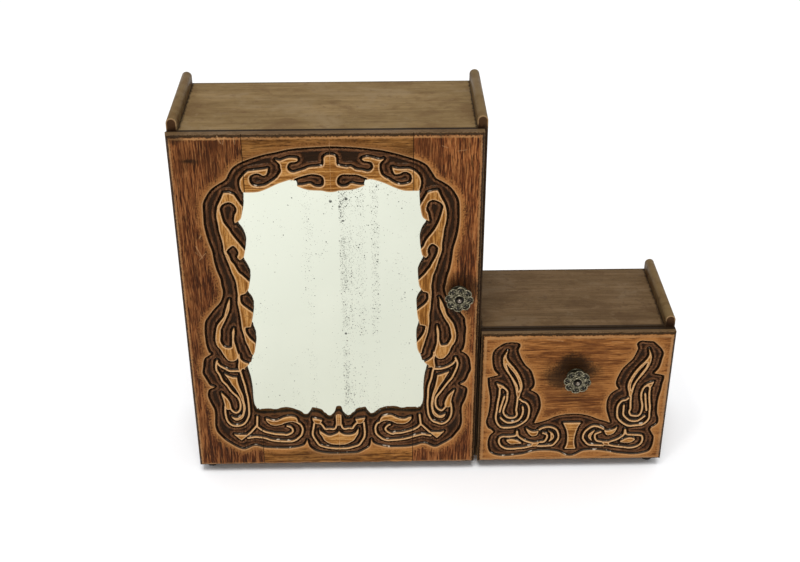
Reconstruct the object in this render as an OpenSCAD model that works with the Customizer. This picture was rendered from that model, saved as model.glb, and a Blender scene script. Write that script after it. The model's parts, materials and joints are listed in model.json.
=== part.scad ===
// Jewelry armoire: a mirrored, carved door on a shallow cabinet, with a single-drawer box beside it.
// Millimetres. X runs across the front, Y from the front to the back, Z up from the resting surface.
// Pieces are laid out from the cabinet's left side (x = 0) and the door's face (y = 0), then moved
// as one so that the origin is the centre of the underside of the whole object's bounding box.

/* [Cabinet] */
// Width of the cabinet behind the door
cabinet_w = 270; // [268:1:300]
// Height of the cabinet, from its underside to its top board
cabinet_h = 351; // [351:1:380]
// Depth of both boxes behind the door and the drawer front
case_d = 105; // [90:1:140]
// Thickness of the side, top and bottom boards
board_t = 9; // [9:0.5:12]
// How far the rounded side panels stand above the top boards
rail_rise = 11; // [8:0.5:20]
// Height of the shelf's underside above the cabinet's underside
shelf_z = 104; // [60:1:130]

/* [Drawer box] */
// Width of the drawer box beside the cabinet
box_w = 180; // [150:1:240]
// Height of the drawer box
box_h = 149.5; // [120:0.5:170]
// Height of the drawer's side boards
drawer_side_h = 108; // [60:1:108]

/* [Door and drawer front] */
// Thickness of the door and of the drawer front
front_t = 11; // [11:0.5:14]
// Width of the door
door_w = 267; // [265:0.5:268]
// Width of the stile that carries the hinges
hinge_stile_w = 63; // [63:0.5:66]
// Width of the stile that carries the knob
knob_stile_w = 60; // [58:0.5:62]
// Chamfer round the face of the door and of the drawer front
chamfer = 3; // [1:0.5:4]
// Sideways shift of the mirror opening from the middle of the door
opening_shift = 3; // [0:0.5:4]

/* [Knobs and feet] */
// Diameter across the petals of a knob
knob_d = 26; // [20:1:30]
// Height of the door knob's axis above the door's lower edge
door_knob_z = 194; // [150:1:220]
// Distance of the door knob's axis from the door's free edge
door_knob_inset = 19; // [16:0.5:22]
// Height of the drawer knob's axis above the drawer box's underside
drawer_knob_z = 102; // [60:1:110]
// Height of the feet
foot_h = 10; // [6:0.5:15]

/* [Hidden] */
$fn = 48;
overcut = 1;          // how far a cutting tool runs past the surface it cuts

// Main levels and faces
base_z = foot_h;
front_clearance = 0.5;                // from the boxes to the door and the drawer front
case_y = front_t + front_clearance;               // front edge of the boxes, just behind the door
back_y = case_y + case_d;             // rear edge of the boxes
top_z = base_z + cabinet_h;
box_top_z = base_z + box_h;
total_w = cabinet_w + box_w;
panel_inner_x = cabinet_w - board_t;  // inner face of the right side panel
outer_inner_x = total_w - board_t;    // inner face of the outer side panel

// Back panels sit in a rabbet, a little below the rear edges
back_t = 3;
back_recess = 0.8;
rabbet_w = 4.5;
back_panel_y = back_y - back_recess - back_t;
nail_r = 0.6;
nail_head_r = 1.5;
nail_head_t = 0.6;
nail_len = 9;

// Shelf, its pins, and the rail of necklace pegs
shelf_t = 6;
shelf_y = case_y + 4;
shelf_gap = 0.3;
pin_r = 2.5;
pin_sink = 5;
pin_reach = 6;
pin_inset_y = 18;
peg_rail_h = 26;
peg_rail_t = 8;
peg_rail_drop = 16;   // from the top board's underside to the rail
peg_count = 7;
peg_r = 1.6;
peg_len = 14;
peg_ball_r = 2.6;

// Hinges: leaves let into the door's back and into the side panel's front edge
hinge_len = 25;
hinge_end = 1;        // gap from the door's end to the hinge
leaf_t = 0.7;
knuckle_r = 1.3;
hinge_pin_r = 0.6;
pin_clearance = 0.05;
axis_x = -0.3;
axis_y = front_t + front_clearance / 2;
knuckle_gap = 0.15;
leaf_x = [1.3, 8.3];   // the leaves' edges, clear of the other leaf's knuckle
hinge_screw_x = 5.3;
knuckle_room = 1.6;   // radius cleared in the wood round the knuckles
screw_r = 0.9;
screw_head_r = 1.7;
screw_len = 7;

// Mirror, in a rebate behind the wavy opening
mirror_front_y = 7;
glass_t = 1.6;
rebate_x = [46, 227];
rebate_z = [48, 316];
rebate_gap = 0.3;
clip_w = 8;
clip_l = 14;
clip_t = 0.8;

// Knobs
plate_r = 9;
plate_t = 1.4;
stem_r = 4;
rosette_y = -8;       // rear face of the petals
petal_t = 3;
petal_count = 8;
petal_r = 4.9;
boss_r = 5.2;
boss_t = 3;
knob_screw_r = 1.7;
knob_screw_head_r = 3.2;
knob_screw_head_t = 1.3;
knob_front_y = rosette_y - petal_t - boss_t;

// Drawer
drawer_gap = 0.5;
drawer_side_t = 7;
drawer_bottom_t = 3;
drawer_bottom_rise = 4;
drawer_depth = 96;
lining_t = 1.5;
lining_gap = 0.5;
drawer_x0 = cabinet_w + drawer_gap;
drawer_x1 = outer_inner_x - drawer_gap;
drawer_z0 = base_z + board_t + 0.3;
front_gap = 0.5;      // from the drawer front to the cabinet's side face and to its box's ends

// Feet, screws between the boxes, magnet
foot_r = 6;
foot_inset = 9.7;
join_r = 1.6;
join_head_r = 3;
join_head_t = 1;
join_len = 22;
magnet_r = 2;
magnet_len = 8;
magnet_x = cabinet_w - 6.4;
magnet_z = base_z + 165;
disc_t = 1;

// The object's box, which sets the origin
min_x = axis_x - knuckle_r;
centre = [(min_x + total_w) / 2, (knob_front_y + back_y) / 2, 0];
door_knob_x = door_w - door_knob_inset;
drawer_knob_x = cabinet_w + box_w / 2;

// Half outline of the mirror opening, from the middle of its top to the middle of its bottom:
// distance from the opening's middle line, and height above the door's lower edge. Each run is
// one smooth curve, and runs meet in the points of the carved edge.
opening_runs = [
    [[0, 297.5], [4, 298], [8, 299], [17, 299.5], [23, 301], [28.5, 303.5]],
    [[28.5, 303.5], [29, 306.5], [30.5, 308.5], [34, 309.5], [38, 308.5], [45, 306], [53, 302],
     [60, 299], [66, 298], [76.5, 298]],
    [[76.5, 298], [76, 290], [76.5, 282], [78, 274], [80.5, 270.5], [84.5, 268.5]],
    [[84.5, 268.5], [82.5, 263.5], [79, 258], [77, 252], [76.5, 246], [78, 236], [79.5, 233.5],
     [82, 231.5]],
    [[82, 231.5], [80.5, 228], [78, 223], [75.5, 217], [75, 211], [76, 203], [78, 199],
     [80.5, 196]],
    [[80.5, 196], [78.5, 192.5], [75.5, 188], [74, 183], [74, 177], [75, 169], [77, 161]],
    [[77, 161], [76, 157], [74.5, 152], [74, 147], [74, 141], [75, 134], [77.5, 128],
     [78.5, 124], [80, 121], [85.5, 116]],
    [[85.5, 116], [84, 108], [82, 98], [81, 86], [81, 74], [80.5, 66], [78.5, 61], [74, 59.5]],
    [[74, 59.5], [66, 59.5], [58, 60], [50, 61], [44, 60.5], [39.5, 58.5], [36, 55.5],
     [33.5, 54], [31, 53.5], [28.5, 55], [25.5, 60.5]],
    [[25.5, 60.5], [21.5, 60], [17.5, 58.5], [15, 56], [12.5, 53], [10, 51.5], [7.5, 51.5],
     [5.5, 53], [4, 56.5], [2.5, 60], [0, 61]]
];
curve_steps = 3;      // straight pieces between two points of a run

// A smooth curve through the points of a run (Catmull-Rom), without its last point
function curve_point(a, b, c, d, t) =
    0.5 * (2 * b + (c - a) * t + (2 * a - 5 * b + 4 * c - d) * t * t
           + (3 * b - a - 3 * c + d) * t * t * t);
function curve(run) = [
    for (i = [0 : len(run) - 2], k = [0 : curve_steps - 1])
        curve_point(run[max(i - 1, 0)], run[i], run[i + 1], run[min(i + 2, len(run) - 1)],
                    k / curve_steps)
];
half_outline = [for (run = opening_runs) each curve(run)];
opening_middle_x = door_w / 2 + opening_shift;
opening_bottom = [0, 61];

// Moves everything from the layout frame to the object's frame
module placed() translate(-centre) children();

// A box between two corners
module block(low, high) translate(low) cube(high - low);

// A cylinder along Y from y0 to y1
module rod_y(x, z, r, y0, y1) translate([x, y0, z]) rotate([-90, 0, 0]) cylinder(r = r, h = y1 - y0);

// A cylinder along X from x0 to x1
module rod_x(y, z, r, x0, x1) translate([x0, y, z]) rotate([0, 90, 0]) cylinder(r = r, h = x1 - x0);

// ---- Cabinet and drawer box -------------------------------------------------------------

// Side panel: a board with a fully rounded top edge
module side_panel(x, top) {
    r = board_t / 2;
    block([x, case_y, base_z], [x + board_t, back_y, top + rail_rise - r]);
    rod_y(x + r, top + rail_rise - r, r, case_y, back_y);
}

// Rabbet for the cabinet's back panel
module cabinet_rabbet()
    block([rabbet_w, back_panel_y, base_z + rabbet_w],
          [cabinet_w - rabbet_w, back_y + overcut, top_z - rabbet_w]);

// Rabbet for the drawer box's back panel
module box_rabbet()
    block([cabinet_w, back_panel_y, base_z + rabbet_w],
          [total_w - rabbet_w, back_y + overcut, box_top_z - rabbet_w]);

// Places along a back panel's edge for its nails
function nail_row(a, b, n) = [for (i = [0 : n - 1]) a + (b - a) * i / (n - 1)];
nail_edge = rabbet_w + 2.2;
cabinet_nails = concat(
    [for (x = [nail_edge, cabinet_w - nail_edge],
          z = nail_row(base_z + 30, top_z - 30, 5)) [x, z]],
    [for (x = nail_row(50, cabinet_w - 50, 3), z = [base_z + nail_edge, top_z - nail_edge]) [x, z]]
);
box_nails = concat(
    [for (z = nail_row(base_z + 25, box_top_z - 25, 3)) [total_w - nail_edge, z]],
    [for (x = nail_row(cabinet_w + 30, total_w - 40, 3),
          z = [base_z + nail_edge, box_top_z - nail_edge]) [x, z]]
);
module nails(places) for (p = places) {
    rod_y(p[0], p[1], nail_r, back_panel_y + back_t - nail_len, back_panel_y + back_t);
    rod_y(p[0], p[1], nail_head_r, back_panel_y + back_t, back_panel_y + back_t + nail_head_t);
}
module nail_holes(places) for (p = places)
    rod_y(p[0], p[1], nail_r, back_panel_y + back_t - nail_len, back_y + overcut);

// Pins under the shelf, in both side panels
module shelf_pin_rods(sink) for (y = [case_y + pin_inset_y, back_y - pin_inset_y]) {
    rod_x(y, base_z + shelf_z - pin_r, pin_r, board_t - sink, board_t + pin_reach);
    rod_x(y, base_z + shelf_z - pin_r, pin_r, panel_inner_x - pin_reach, panel_inner_x + sink);
}

// Screws from inside the cabinet into the ends of the drawer box's boards
join_y = [case_y + 22, back_y - 22];
join_z = [base_z + board_t / 2, box_top_z - board_t / 2];
module join_shanks() for (y = join_y, z = join_z)
    rod_x(y, z, join_r, panel_inner_x, panel_inner_x + join_len);

module left_side_panel() color("saddlebrown") placed() difference() {
    side_panel(0, top_z);
    cabinet_rabbet();
    nail_holes(cabinet_nails);
    shelf_pin_rods(pin_sink);
    hinge_room();
    leaf_mortises(case_y - overcut, case_y + leaf_t);
    hinge_screw_rods(case_y + leaf_t, 1);
}

module right_side_panel() color("saddlebrown") placed() difference() {
    side_panel(panel_inner_x, top_z);
    cabinet_rabbet();
    nail_holes(cabinet_nails);
    shelf_pin_rods(pin_sink);
    join_shanks();
    rod_y(magnet_x, magnet_z, magnet_r, case_y - overcut, case_y + magnet_len);
}

module outer_side_panel() color("saddlebrown") placed() difference() {
    side_panel(outer_inner_x, box_top_z);
    box_rabbet();
    nail_holes(box_nails);
}

// A board between two side faces, with the back panel's rabbet and nail holes
module cross_board(x0, x1, z) block([x0, case_y, z], [x1, back_y, z + board_t]);

module cabinet_top() color("tan") placed() difference() {
    cross_board(board_t, panel_inner_x, top_z - board_t);
    cabinet_rabbet();
    nail_holes(cabinet_nails);
}

module cabinet_bottom() color("tan") placed() difference() {
    cross_board(board_t, panel_inner_x, base_z);
    cabinet_rabbet();
    nail_holes(cabinet_nails);
}

module drawer_box_top() color("tan") placed() difference() {
    cross_board(cabinet_w, outer_inner_x, box_top_z - board_t);
    box_rabbet();
    nail_holes(box_nails);
    join_shanks();
}

module drawer_box_bottom() color("tan") placed() difference() {
    cross_board(cabinet_w, outer_inner_x, base_z);
    box_rabbet();
    nail_holes(box_nails);
    join_shanks();
}

module cabinet_back() color("burlywood") placed() difference() {
    block([rabbet_w, back_panel_y, base_z + rabbet_w],
          [cabinet_w - rabbet_w, back_panel_y + back_t, top_z - rabbet_w]);
    nail_holes(cabinet_nails);
}

module drawer_box_back() color("burlywood") placed() difference() {
    block([cabinet_w, back_panel_y, base_z + rabbet_w],
          [total_w - rabbet_w, back_panel_y + back_t, box_top_z - rabbet_w]);
    nail_holes(box_nails);
}

module cabinet_back_nails() color("dimgray") placed() nails(cabinet_nails);

module drawer_box_back_nails() color("dimgray") placed() nails(box_nails);

module cabinet_shelf() color("peru") placed()
    block([board_t + shelf_gap, shelf_y, base_z + shelf_z],
          [panel_inner_x - shelf_gap, back_panel_y, base_z + shelf_z + shelf_t]);

module shelf_pins() color("goldenrod") placed() shelf_pin_rods(pin_sink);

// Pegs for necklaces, on a rail under the top board
peg_rail_z = top_z - board_t - peg_rail_drop - peg_rail_h;
peg_rail_y = back_panel_y - peg_rail_t;
module peg_shanks() for (x = nail_row(30, cabinet_w - 30, peg_count))
    rod_y(x, peg_rail_z + peg_rail_h / 2, peg_r, peg_rail_y - peg_len, peg_rail_y + 4);

module necklace_rail() color("peru") placed() difference() {
    block([board_t, peg_rail_y, peg_rail_z],
          [panel_inner_x, back_panel_y, peg_rail_z + peg_rail_h]);
    peg_shanks();
}

module necklace_pegs() color("goldenrod") placed() {
    peg_shanks();
    for (x = nail_row(30, cabinet_w - 30, peg_count))
        translate([x, peg_rail_y - peg_len, peg_rail_z + peg_rail_h / 2]) sphere(r = peg_ball_r);
}

module door_magnet() color("silver") placed()
    rod_y(magnet_x, magnet_z, magnet_r, case_y, case_y + magnet_len);

module feet() color("black") placed()
    for (x = [foot_inset, total_w - foot_inset], y = [case_y + foot_r, back_y - foot_r - 2])
        translate([x, y, 0]) cylinder(r1 = foot_r - 0.8, r2 = foot_r, h = foot_h);

module joining_screws() color("dimgray") placed() {
    join_shanks();
    for (y = join_y)
        rod_x(y, join_z[1], join_head_r, panel_inner_x - join_head_t, panel_inner_x);
}

// ---- Hinges ------------------------------------------------------------------------------

hinge_z = [base_z + cabinet_h - hinge_end - hinge_len, base_z + hinge_end];

// Room for the knuckles in the door and in the side panel
module hinge_room() for (z = hinge_z)
    translate([axis_x, axis_y, z - knuckle_gap])
        cylinder(r = knuckle_room, h = hinge_len + 2 * knuckle_gap);

// Recesses that the leaves lie in, open at the edge, between two depths
module leaf_mortises(y0, y1) for (z = hinge_z)
    block([-overcut, y0, z], [leaf_x[1], y1, z + hinge_len]);

// Screws through the leaves: side is 1 into the case and -1 into the door
module hinge_screw_rods(y, side) for (z = hinge_z, k = [0.2, 0.8])
    rod_y(hinge_screw_x, z + k * hinge_len, screw_r,
          side > 0 ? y : y - screw_len, side > 0 ? y + screw_len : y);

// A countersunk screw's head, filling the leaf's thickness
module hinge_screw_heads(y, side) for (z = hinge_z, k = [0.2, 0.8])
    translate([hinge_screw_x, y, z + k * hinge_len]) rotate([side * -90, 0, 0])
        cylinder(r1 = screw_head_r, r2 = screw_r, h = leaf_t);

// One leaf with its knuckles: parts lists the thirds of the length that hold a knuckle
module leaf(z, y0, y1, parts, bore_r) difference() {
    union() {
        block([leaf_x[0], y0, z], [leaf_x[1], y1, z + hinge_len]);
        for (k = parts) {
            low = z + k * hinge_len / 3 + knuckle_gap;
            high = z + (k + 1) * hinge_len / 3 - knuckle_gap;
            translate([axis_x, axis_y, low]) cylinder(r = knuckle_r, h = high - low);
            block([axis_x, y0, low], [leaf_x[0] + 0.5, y1, high]);
        }
    }
    translate([axis_x, axis_y, z - overcut]) cylinder(r = bore_r, h = hinge_len + 2 * overcut);
}

module case_leaf(z) color("darkgoldenrod") placed() difference() {
    leaf(z, case_y, case_y + leaf_t, [0, 2], hinge_pin_r);
    hinge_screw_heads(case_y, 1);
}

module door_leaf(z) color("darkgoldenrod") placed() difference() {
    leaf(z, front_t - leaf_t, front_t, [1], hinge_pin_r + pin_clearance);
    hinge_screw_heads(front_t, -1);
}

module upper_hinge_case_leaf() case_leaf(hinge_z[0]);

module lower_hinge_case_leaf() case_leaf(hinge_z[1]);

module upper_hinge_door_leaf() door_leaf(hinge_z[0]);

module lower_hinge_door_leaf() door_leaf(hinge_z[1]);

module hinge_pins() color("dimgray") placed() for (z = hinge_z)
    translate([axis_x, axis_y, z + knuckle_gap])
        cylinder(r = hinge_pin_r, h = hinge_len - 2 * knuckle_gap);

module case_hinge_screws() color("goldenrod") placed() {
    hinge_screw_heads(case_y, 1);
    hinge_screw_rods(case_y + leaf_t, 1);
}

module door_hinge_screws() color("goldenrod") placed() {
    hinge_screw_heads(front_t, -1);
    hinge_screw_rods(front_t - leaf_t, -1);
}

// ---- Door --------------------------------------------------------------------------------

// A front board, chamfered all round its face
module front_board(x0, x1, z0, z1) intersection() {
    translate([0, 0, z0]) linear_extrude(z1 - z0)
        polygon([[x0, chamfer], [x0 + chamfer, 0], [x1 - chamfer, 0], [x1, chamfer],
                 [x1, front_t], [x0, front_t]]);
    translate([x0, 0, 0]) rotate([90, 0, 90]) linear_extrude(x1 - x0)
        polygon([[chamfer, z0], [front_t, z0], [front_t, z1], [chamfer, z1],
                 [0, z1 - chamfer], [0, z0 + chamfer]]);
}

// The mirror opening, right through the door
module mirror_opening()
    translate([opening_middle_x, front_t + overcut, base_z]) rotate([90, 0, 0])
        linear_extrude(front_t + 2 * overcut)
            polygon(concat(half_outline, [opening_bottom],
                           [for (i = [len(half_outline) - 1 : -1 : 1])
                            [-half_outline[i][0], half_outline[i][1]]]));

// The rebate behind the opening that the mirror lies in
module mirror_rebate()
    block([rebate_x[0], mirror_front_y, base_z + rebate_z[0]],
          [rebate_x[1], front_t + overcut, base_z + rebate_z[1]]);

module door_member(x0, x1, z0, z1) difference() {
    intersection() {
        front_board(0, door_w, base_z, top_z);
        block([x0, -overcut, base_z + z0], [x1, front_t + overcut, base_z + z1]);
    }
    mirror_opening();
    mirror_rebate();
}

clip_places = [[rebate_x[0], 90], [rebate_x[0], 275], [rebate_x[1], 90], [rebate_x[1], 275]];
clip_screw_x = [for (p = clip_places) p[0] + (p[0] < door_w / 2 ? -clip_l / 4 : clip_l / 4)];
module clip_screws_shanks() for (i = [0 : len(clip_places) - 1])
    rod_y(clip_screw_x[i], base_z + clip_places[i][1], screw_r, front_t - 6, front_t + clip_t);

module door_hinge_stile() color("sienna") placed() difference() {
    door_member(0, hinge_stile_w, 0, cabinet_h);
    hinge_room();
    leaf_mortises(front_t - leaf_t, front_t + overcut);
    hinge_screw_rods(front_t - leaf_t, -1);
    clip_screws_shanks();
}

module door_knob_stile() color("sienna") placed() difference() {
    door_member(door_w - knob_stile_w, door_w, 0, cabinet_h);
    clip_screws_shanks();
    rod_y(door_knob_x, base_z + door_knob_z, knob_screw_r, -overcut, front_t + overcut);
    rod_y(magnet_x, magnet_z, magnet_r, front_t - disc_t, front_t + overcut);
}

module door_top_rail() color("peru") placed()
    door_member(hinge_stile_w, door_w - knob_stile_w, 290, cabinet_h);

module door_bottom_rail() color("peru") placed()
    door_member(hinge_stile_w, door_w - knob_stile_w, 0, 70);

module pane(y0, y1)
    block([rebate_x[0] + rebate_gap, y0, base_z + rebate_z[0] + rebate_gap],
          [rebate_x[1] - rebate_gap, y1, base_z + rebate_z[1] - rebate_gap]);

module mirror_glass() color("aliceblue") placed() pane(mirror_front_y, mirror_front_y + glass_t);

module mirror_backing() color("gray") placed() pane(mirror_front_y + glass_t, front_t);

module mirror_clips() color("darkgoldenrod") placed() difference() {
    for (p = clip_places)
        block([p[0] - clip_l / 2, front_t, base_z + p[1] - clip_w / 2],
              [p[0] + clip_l / 2, front_t + clip_t, base_z + p[1] + clip_w / 2]);
    clip_screws_shanks();
}

module mirror_clip_screws() color("goldenrod") placed() {
    clip_screws_shanks();
    for (i = [0 : len(clip_places) - 1])
        rod_y(clip_screw_x[i], base_z + clip_places[i][1], screw_head_r,
              front_t + clip_t, front_t + clip_t + 0.6);
}

module door_strike_disc() color("silver") placed()
    rod_y(magnet_x, magnet_z, magnet_r, front_t - disc_t, front_t);

// ---- Knobs -------------------------------------------------------------------------------

module knob_backplate(x, z) color("dimgray") placed() difference() {
    rod_y(x, z, plate_r, -plate_t, 0);
    rod_y(x, z, stem_r, -plate_t - overcut, overcut);
}

module knob_stem(x, z) color("dimgray") placed() difference() {
    rod_y(x, z, stem_r, rosette_y, 0);
    rod_y(x, z, knob_screw_r, rosette_y + 1, overcut);
}

// Petals round a middle disc, and a boss in front
module knob_rosette(x, z) color("gray") placed() {
    reach = knob_d / 2 - petal_r;
    rod_y(x, z, reach, rosette_y - petal_t, rosette_y);
    for (k = [0 : petal_count - 1]) {
        a = 360 * k / petal_count;
        rod_y(x + reach * cos(a), z + reach * sin(a), petal_r, rosette_y - petal_t, rosette_y);
    }
    rod_y(x, z, boss_r, knob_front_y, rosette_y - petal_t);
}

// Screw from behind the front board into the stem
module knob_screw(x, z) color("dimgray") placed() {
    rod_y(x, z, knob_screw_r, rosette_y + 1, front_t);
    rod_y(x, z, knob_screw_head_r, front_t, front_t + knob_screw_head_t);
}

module door_knob_backplate() knob_backplate(door_knob_x, base_z + door_knob_z);

module door_knob_stem() knob_stem(door_knob_x, base_z + door_knob_z);

module door_knob_rosette() knob_rosette(door_knob_x, base_z + door_knob_z);

module door_knob_screw() knob_screw(door_knob_x, base_z + door_knob_z);

module drawer_knob_backplate() knob_backplate(drawer_knob_x, base_z + drawer_knob_z);

module drawer_knob_stem() knob_stem(drawer_knob_x, base_z + drawer_knob_z);

module drawer_knob_rosette() knob_rosette(drawer_knob_x, base_z + drawer_knob_z);

module drawer_knob_screw() knob_screw(drawer_knob_x, base_z + drawer_knob_z);

// ---- Drawer ------------------------------------------------------------------------------

module drawer_front() color("sienna") placed() difference() {
    front_board(cabinet_w + front_gap, total_w, base_z + front_gap, box_top_z - front_gap);
    rod_y(drawer_knob_x, base_z + drawer_knob_z, knob_screw_r, -overcut, front_t + overcut);
}

module drawer_side(x) color("burlywood") placed()
    block([x, front_t, drawer_z0], [x + drawer_side_t, front_t + drawer_depth,
                                    drawer_z0 + drawer_side_h]);

module drawer_left_side() drawer_side(drawer_x0);

module drawer_right_side() drawer_side(drawer_x1 - drawer_side_t);

module drawer_back() color("burlywood") placed()
    block([drawer_x0 + drawer_side_t, front_t + drawer_depth - drawer_side_t, drawer_z0],
          [drawer_x1 - drawer_side_t, front_t + drawer_depth, drawer_z0 + drawer_side_h]);

module drawer_bottom() color("burlywood") placed()
    block([drawer_x0 + drawer_side_t, front_t, drawer_z0 + drawer_bottom_rise],
          [drawer_x1 - drawer_side_t, front_t + drawer_depth - drawer_side_t,
           drawer_z0 + drawer_bottom_rise + drawer_bottom_t]);

module drawer_lining() color("darkred") placed()
    block([drawer_x0 + drawer_side_t + lining_gap, front_t + lining_gap,
           drawer_z0 + drawer_bottom_rise + drawer_bottom_t],
          [drawer_x1 - drawer_side_t - lining_gap,
           front_t + drawer_depth - drawer_side_t - lining_gap,
           drawer_z0 + drawer_bottom_rise + drawer_bottom_t + lining_t]);

left_side_panel();
right_side_panel();
cabinet_top();
cabinet_bottom();
cabinet_back();
cabinet_back_nails();
cabinet_shelf();
shelf_pins();
necklace_rail();
necklace_pegs();
door_magnet();
feet();
drawer_box_top();
drawer_box_bottom();
drawer_box_back();
drawer_box_back_nails();
outer_side_panel();
joining_screws();
upper_hinge_case_leaf();
lower_hinge_case_leaf();
hinge_pins();
case_hinge_screws();
door_hinge_stile();
door_knob_stile();
door_top_rail();
door_bottom_rail();
mirror_glass();
mirror_backing();
mirror_clips();
mirror_clip_screws();
upper_hinge_door_leaf();
lower_hinge_door_leaf();
door_hinge_screws();
door_strike_disc();
door_knob_backplate();
door_knob_stem();
door_knob_rosette();
door_knob_screw();
drawer_front();
drawer_left_side();
drawer_right_side();
drawer_back();
drawer_bottom();
drawer_lining();
drawer_knob_backplate();
drawer_knob_stem();
drawer_knob_rosette();
drawer_knob_screw();
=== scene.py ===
"""Jewelry armoire: a carved, mirrored door on a shallow cabinet, beside a box with a carved drawer.

Lengths in this script are millimetres in the layout frame: x from the cabinet's left side,
y back from the door's face, z up from the floor. place() turns them into the model's metres.
"""
import json
import math

import bmesh
import bpy
import numpy as np
from mathutils import Matrix, Vector
from mathutils.geometry import tessellate_polygon

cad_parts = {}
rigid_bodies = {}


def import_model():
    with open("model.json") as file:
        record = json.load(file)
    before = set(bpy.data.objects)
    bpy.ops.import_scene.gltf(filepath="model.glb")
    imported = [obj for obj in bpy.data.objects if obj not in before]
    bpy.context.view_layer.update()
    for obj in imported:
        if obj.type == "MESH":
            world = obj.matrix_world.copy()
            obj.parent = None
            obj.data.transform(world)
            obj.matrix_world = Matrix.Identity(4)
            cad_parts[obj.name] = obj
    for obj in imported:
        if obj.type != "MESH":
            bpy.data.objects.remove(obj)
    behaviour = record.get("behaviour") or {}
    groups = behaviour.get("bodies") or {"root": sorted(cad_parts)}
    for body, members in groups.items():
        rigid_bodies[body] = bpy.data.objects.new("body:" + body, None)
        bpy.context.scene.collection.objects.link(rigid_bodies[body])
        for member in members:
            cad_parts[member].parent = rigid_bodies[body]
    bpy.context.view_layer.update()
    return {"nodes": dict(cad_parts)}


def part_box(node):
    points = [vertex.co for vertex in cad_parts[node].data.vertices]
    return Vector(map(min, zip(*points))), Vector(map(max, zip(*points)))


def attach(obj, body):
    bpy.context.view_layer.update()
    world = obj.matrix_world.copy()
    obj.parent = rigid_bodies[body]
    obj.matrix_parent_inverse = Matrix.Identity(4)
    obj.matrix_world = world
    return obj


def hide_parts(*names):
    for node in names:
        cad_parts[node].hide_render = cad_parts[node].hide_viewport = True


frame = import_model()
nodes = frame["nodes"]

MM = 0.001
ORIGIN = Vector((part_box("left_side_panel")[0].x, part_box("door_hinge_stile")[0].y, 0.0))


def place(x, y, z):
    """A layout point in metres, in the model's frame."""
    return (ORIGIN.x + x * MM, ORIGIN.y + y * MM, ORIGIN.z + z * MM)


def node_box(name):
    """A CAD node's low and high corner, in layout millimetres."""
    low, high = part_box(name)
    return (low - ORIGIN) / MM, (high - ORIGIN) / MM


# ---- Main sizes, from the CAD nodes ----------------------------------------------------------

hinge_stile_low, hinge_stile_high = node_box("door_hinge_stile")
knob_stile_low, knob_stile_high = node_box("door_knob_stile")
drawer_low, drawer_high = node_box("drawer_front")
glass_low, glass_high = node_box("mirror_glass")
BASE_Z = hinge_stile_low.z
DOOR_W = knob_stile_high.x
DOOR_H = hinge_stile_high.z - BASE_Z
FRONT_T = hinge_stile_high.y
CHAMFER = 3.0
SEAM_LEFT = hinge_stile_high.x
SEAM_RIGHT = knob_stile_low.x
GLASS_Y = glass_low.y
REBATE_GAP = 0.3
REBATE_X = (glass_low.x - REBATE_GAP, glass_high.x + REBATE_GAP)
REBATE_Z = (glass_low.z - REBATE_GAP - BASE_Z, glass_high.z + REBATE_GAP - BASE_Z)
OPENING_SHIFT = 3.0
OPENING_X = DOOR_W / 2 + OPENING_SHIFT
CASE_Y = node_box("left_side_panel")[0].y
CASE_TOP = node_box("cabinet_top")[1].z
BOX_TOP = node_box("drawer_box_top")[1].z
BACK_Y = node_box("left_side_panel")[1].y
PANEL_T = node_box("left_side_panel")[1].x
CABINET_W = node_box("right_side_panel")[1].x
TOTAL_W = node_box("outer_side_panel")[1].x
BOX_W = TOTAL_W - CABINET_W
SIDE_PANELS = ("left_side_panel", "right_side_panel", "outer_side_panel")

# ---- Outlines of the carving -----------------------------------------------------------------
# Each is one half, (distance from the carving's middle line, height above the board's lower
# edge). A point that ends in K is a sharp corner; the others lie on a smooth curve.

K = 1

OPENING = [
    (0, 297.5), (4, 298), (8, 299), (17, 299.5), (23, 301), (28.5, 303.5, K),
    (29, 306.5), (30.5, 308.5), (34, 309.5), (38, 308.5), (45, 306), (53, 302),
    (60, 299), (66, 298), (76.5, 298, K),
    (76, 290), (76.5, 282), (78, 274), (80.5, 270.5), (84.5, 268.5, K),
    (82.5, 263.5), (79, 258), (77, 252), (76.5, 246), (78, 236), (79.5, 233.5), (82, 231.5, K),
    (80.5, 228), (78, 223), (75.5, 217), (75, 211), (76, 203), (78, 199), (80.5, 196, K),
    (78.5, 192.5), (75.5, 188), (74, 183), (74, 177), (75, 169), (77, 161, K),
    (76, 157), (74.5, 152), (74, 147), (74, 141), (75, 134), (77.5, 128), (78.5, 124),
    (80, 121), (85.5, 116, K),
    (84, 108), (82, 98), (81, 86), (81, 74), (80.5, 66), (78.5, 61), (74, 59.5, K),
    (66, 59.5), (58, 60), (50, 61), (44, 60.5), (39.5, 58.5), (36, 55.5), (33.5, 54),
    (31, 53.5), (28.5, 55), (25.5, 60.5, K),
    (21.5, 60), (17.5, 58.5), (15, 56), (12.5, 53), (10, 51.5), (7.5, 51.5), (5.5, 53),
    (4, 56.5), (2.5, 60), (0, 61, K),
]

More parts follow.
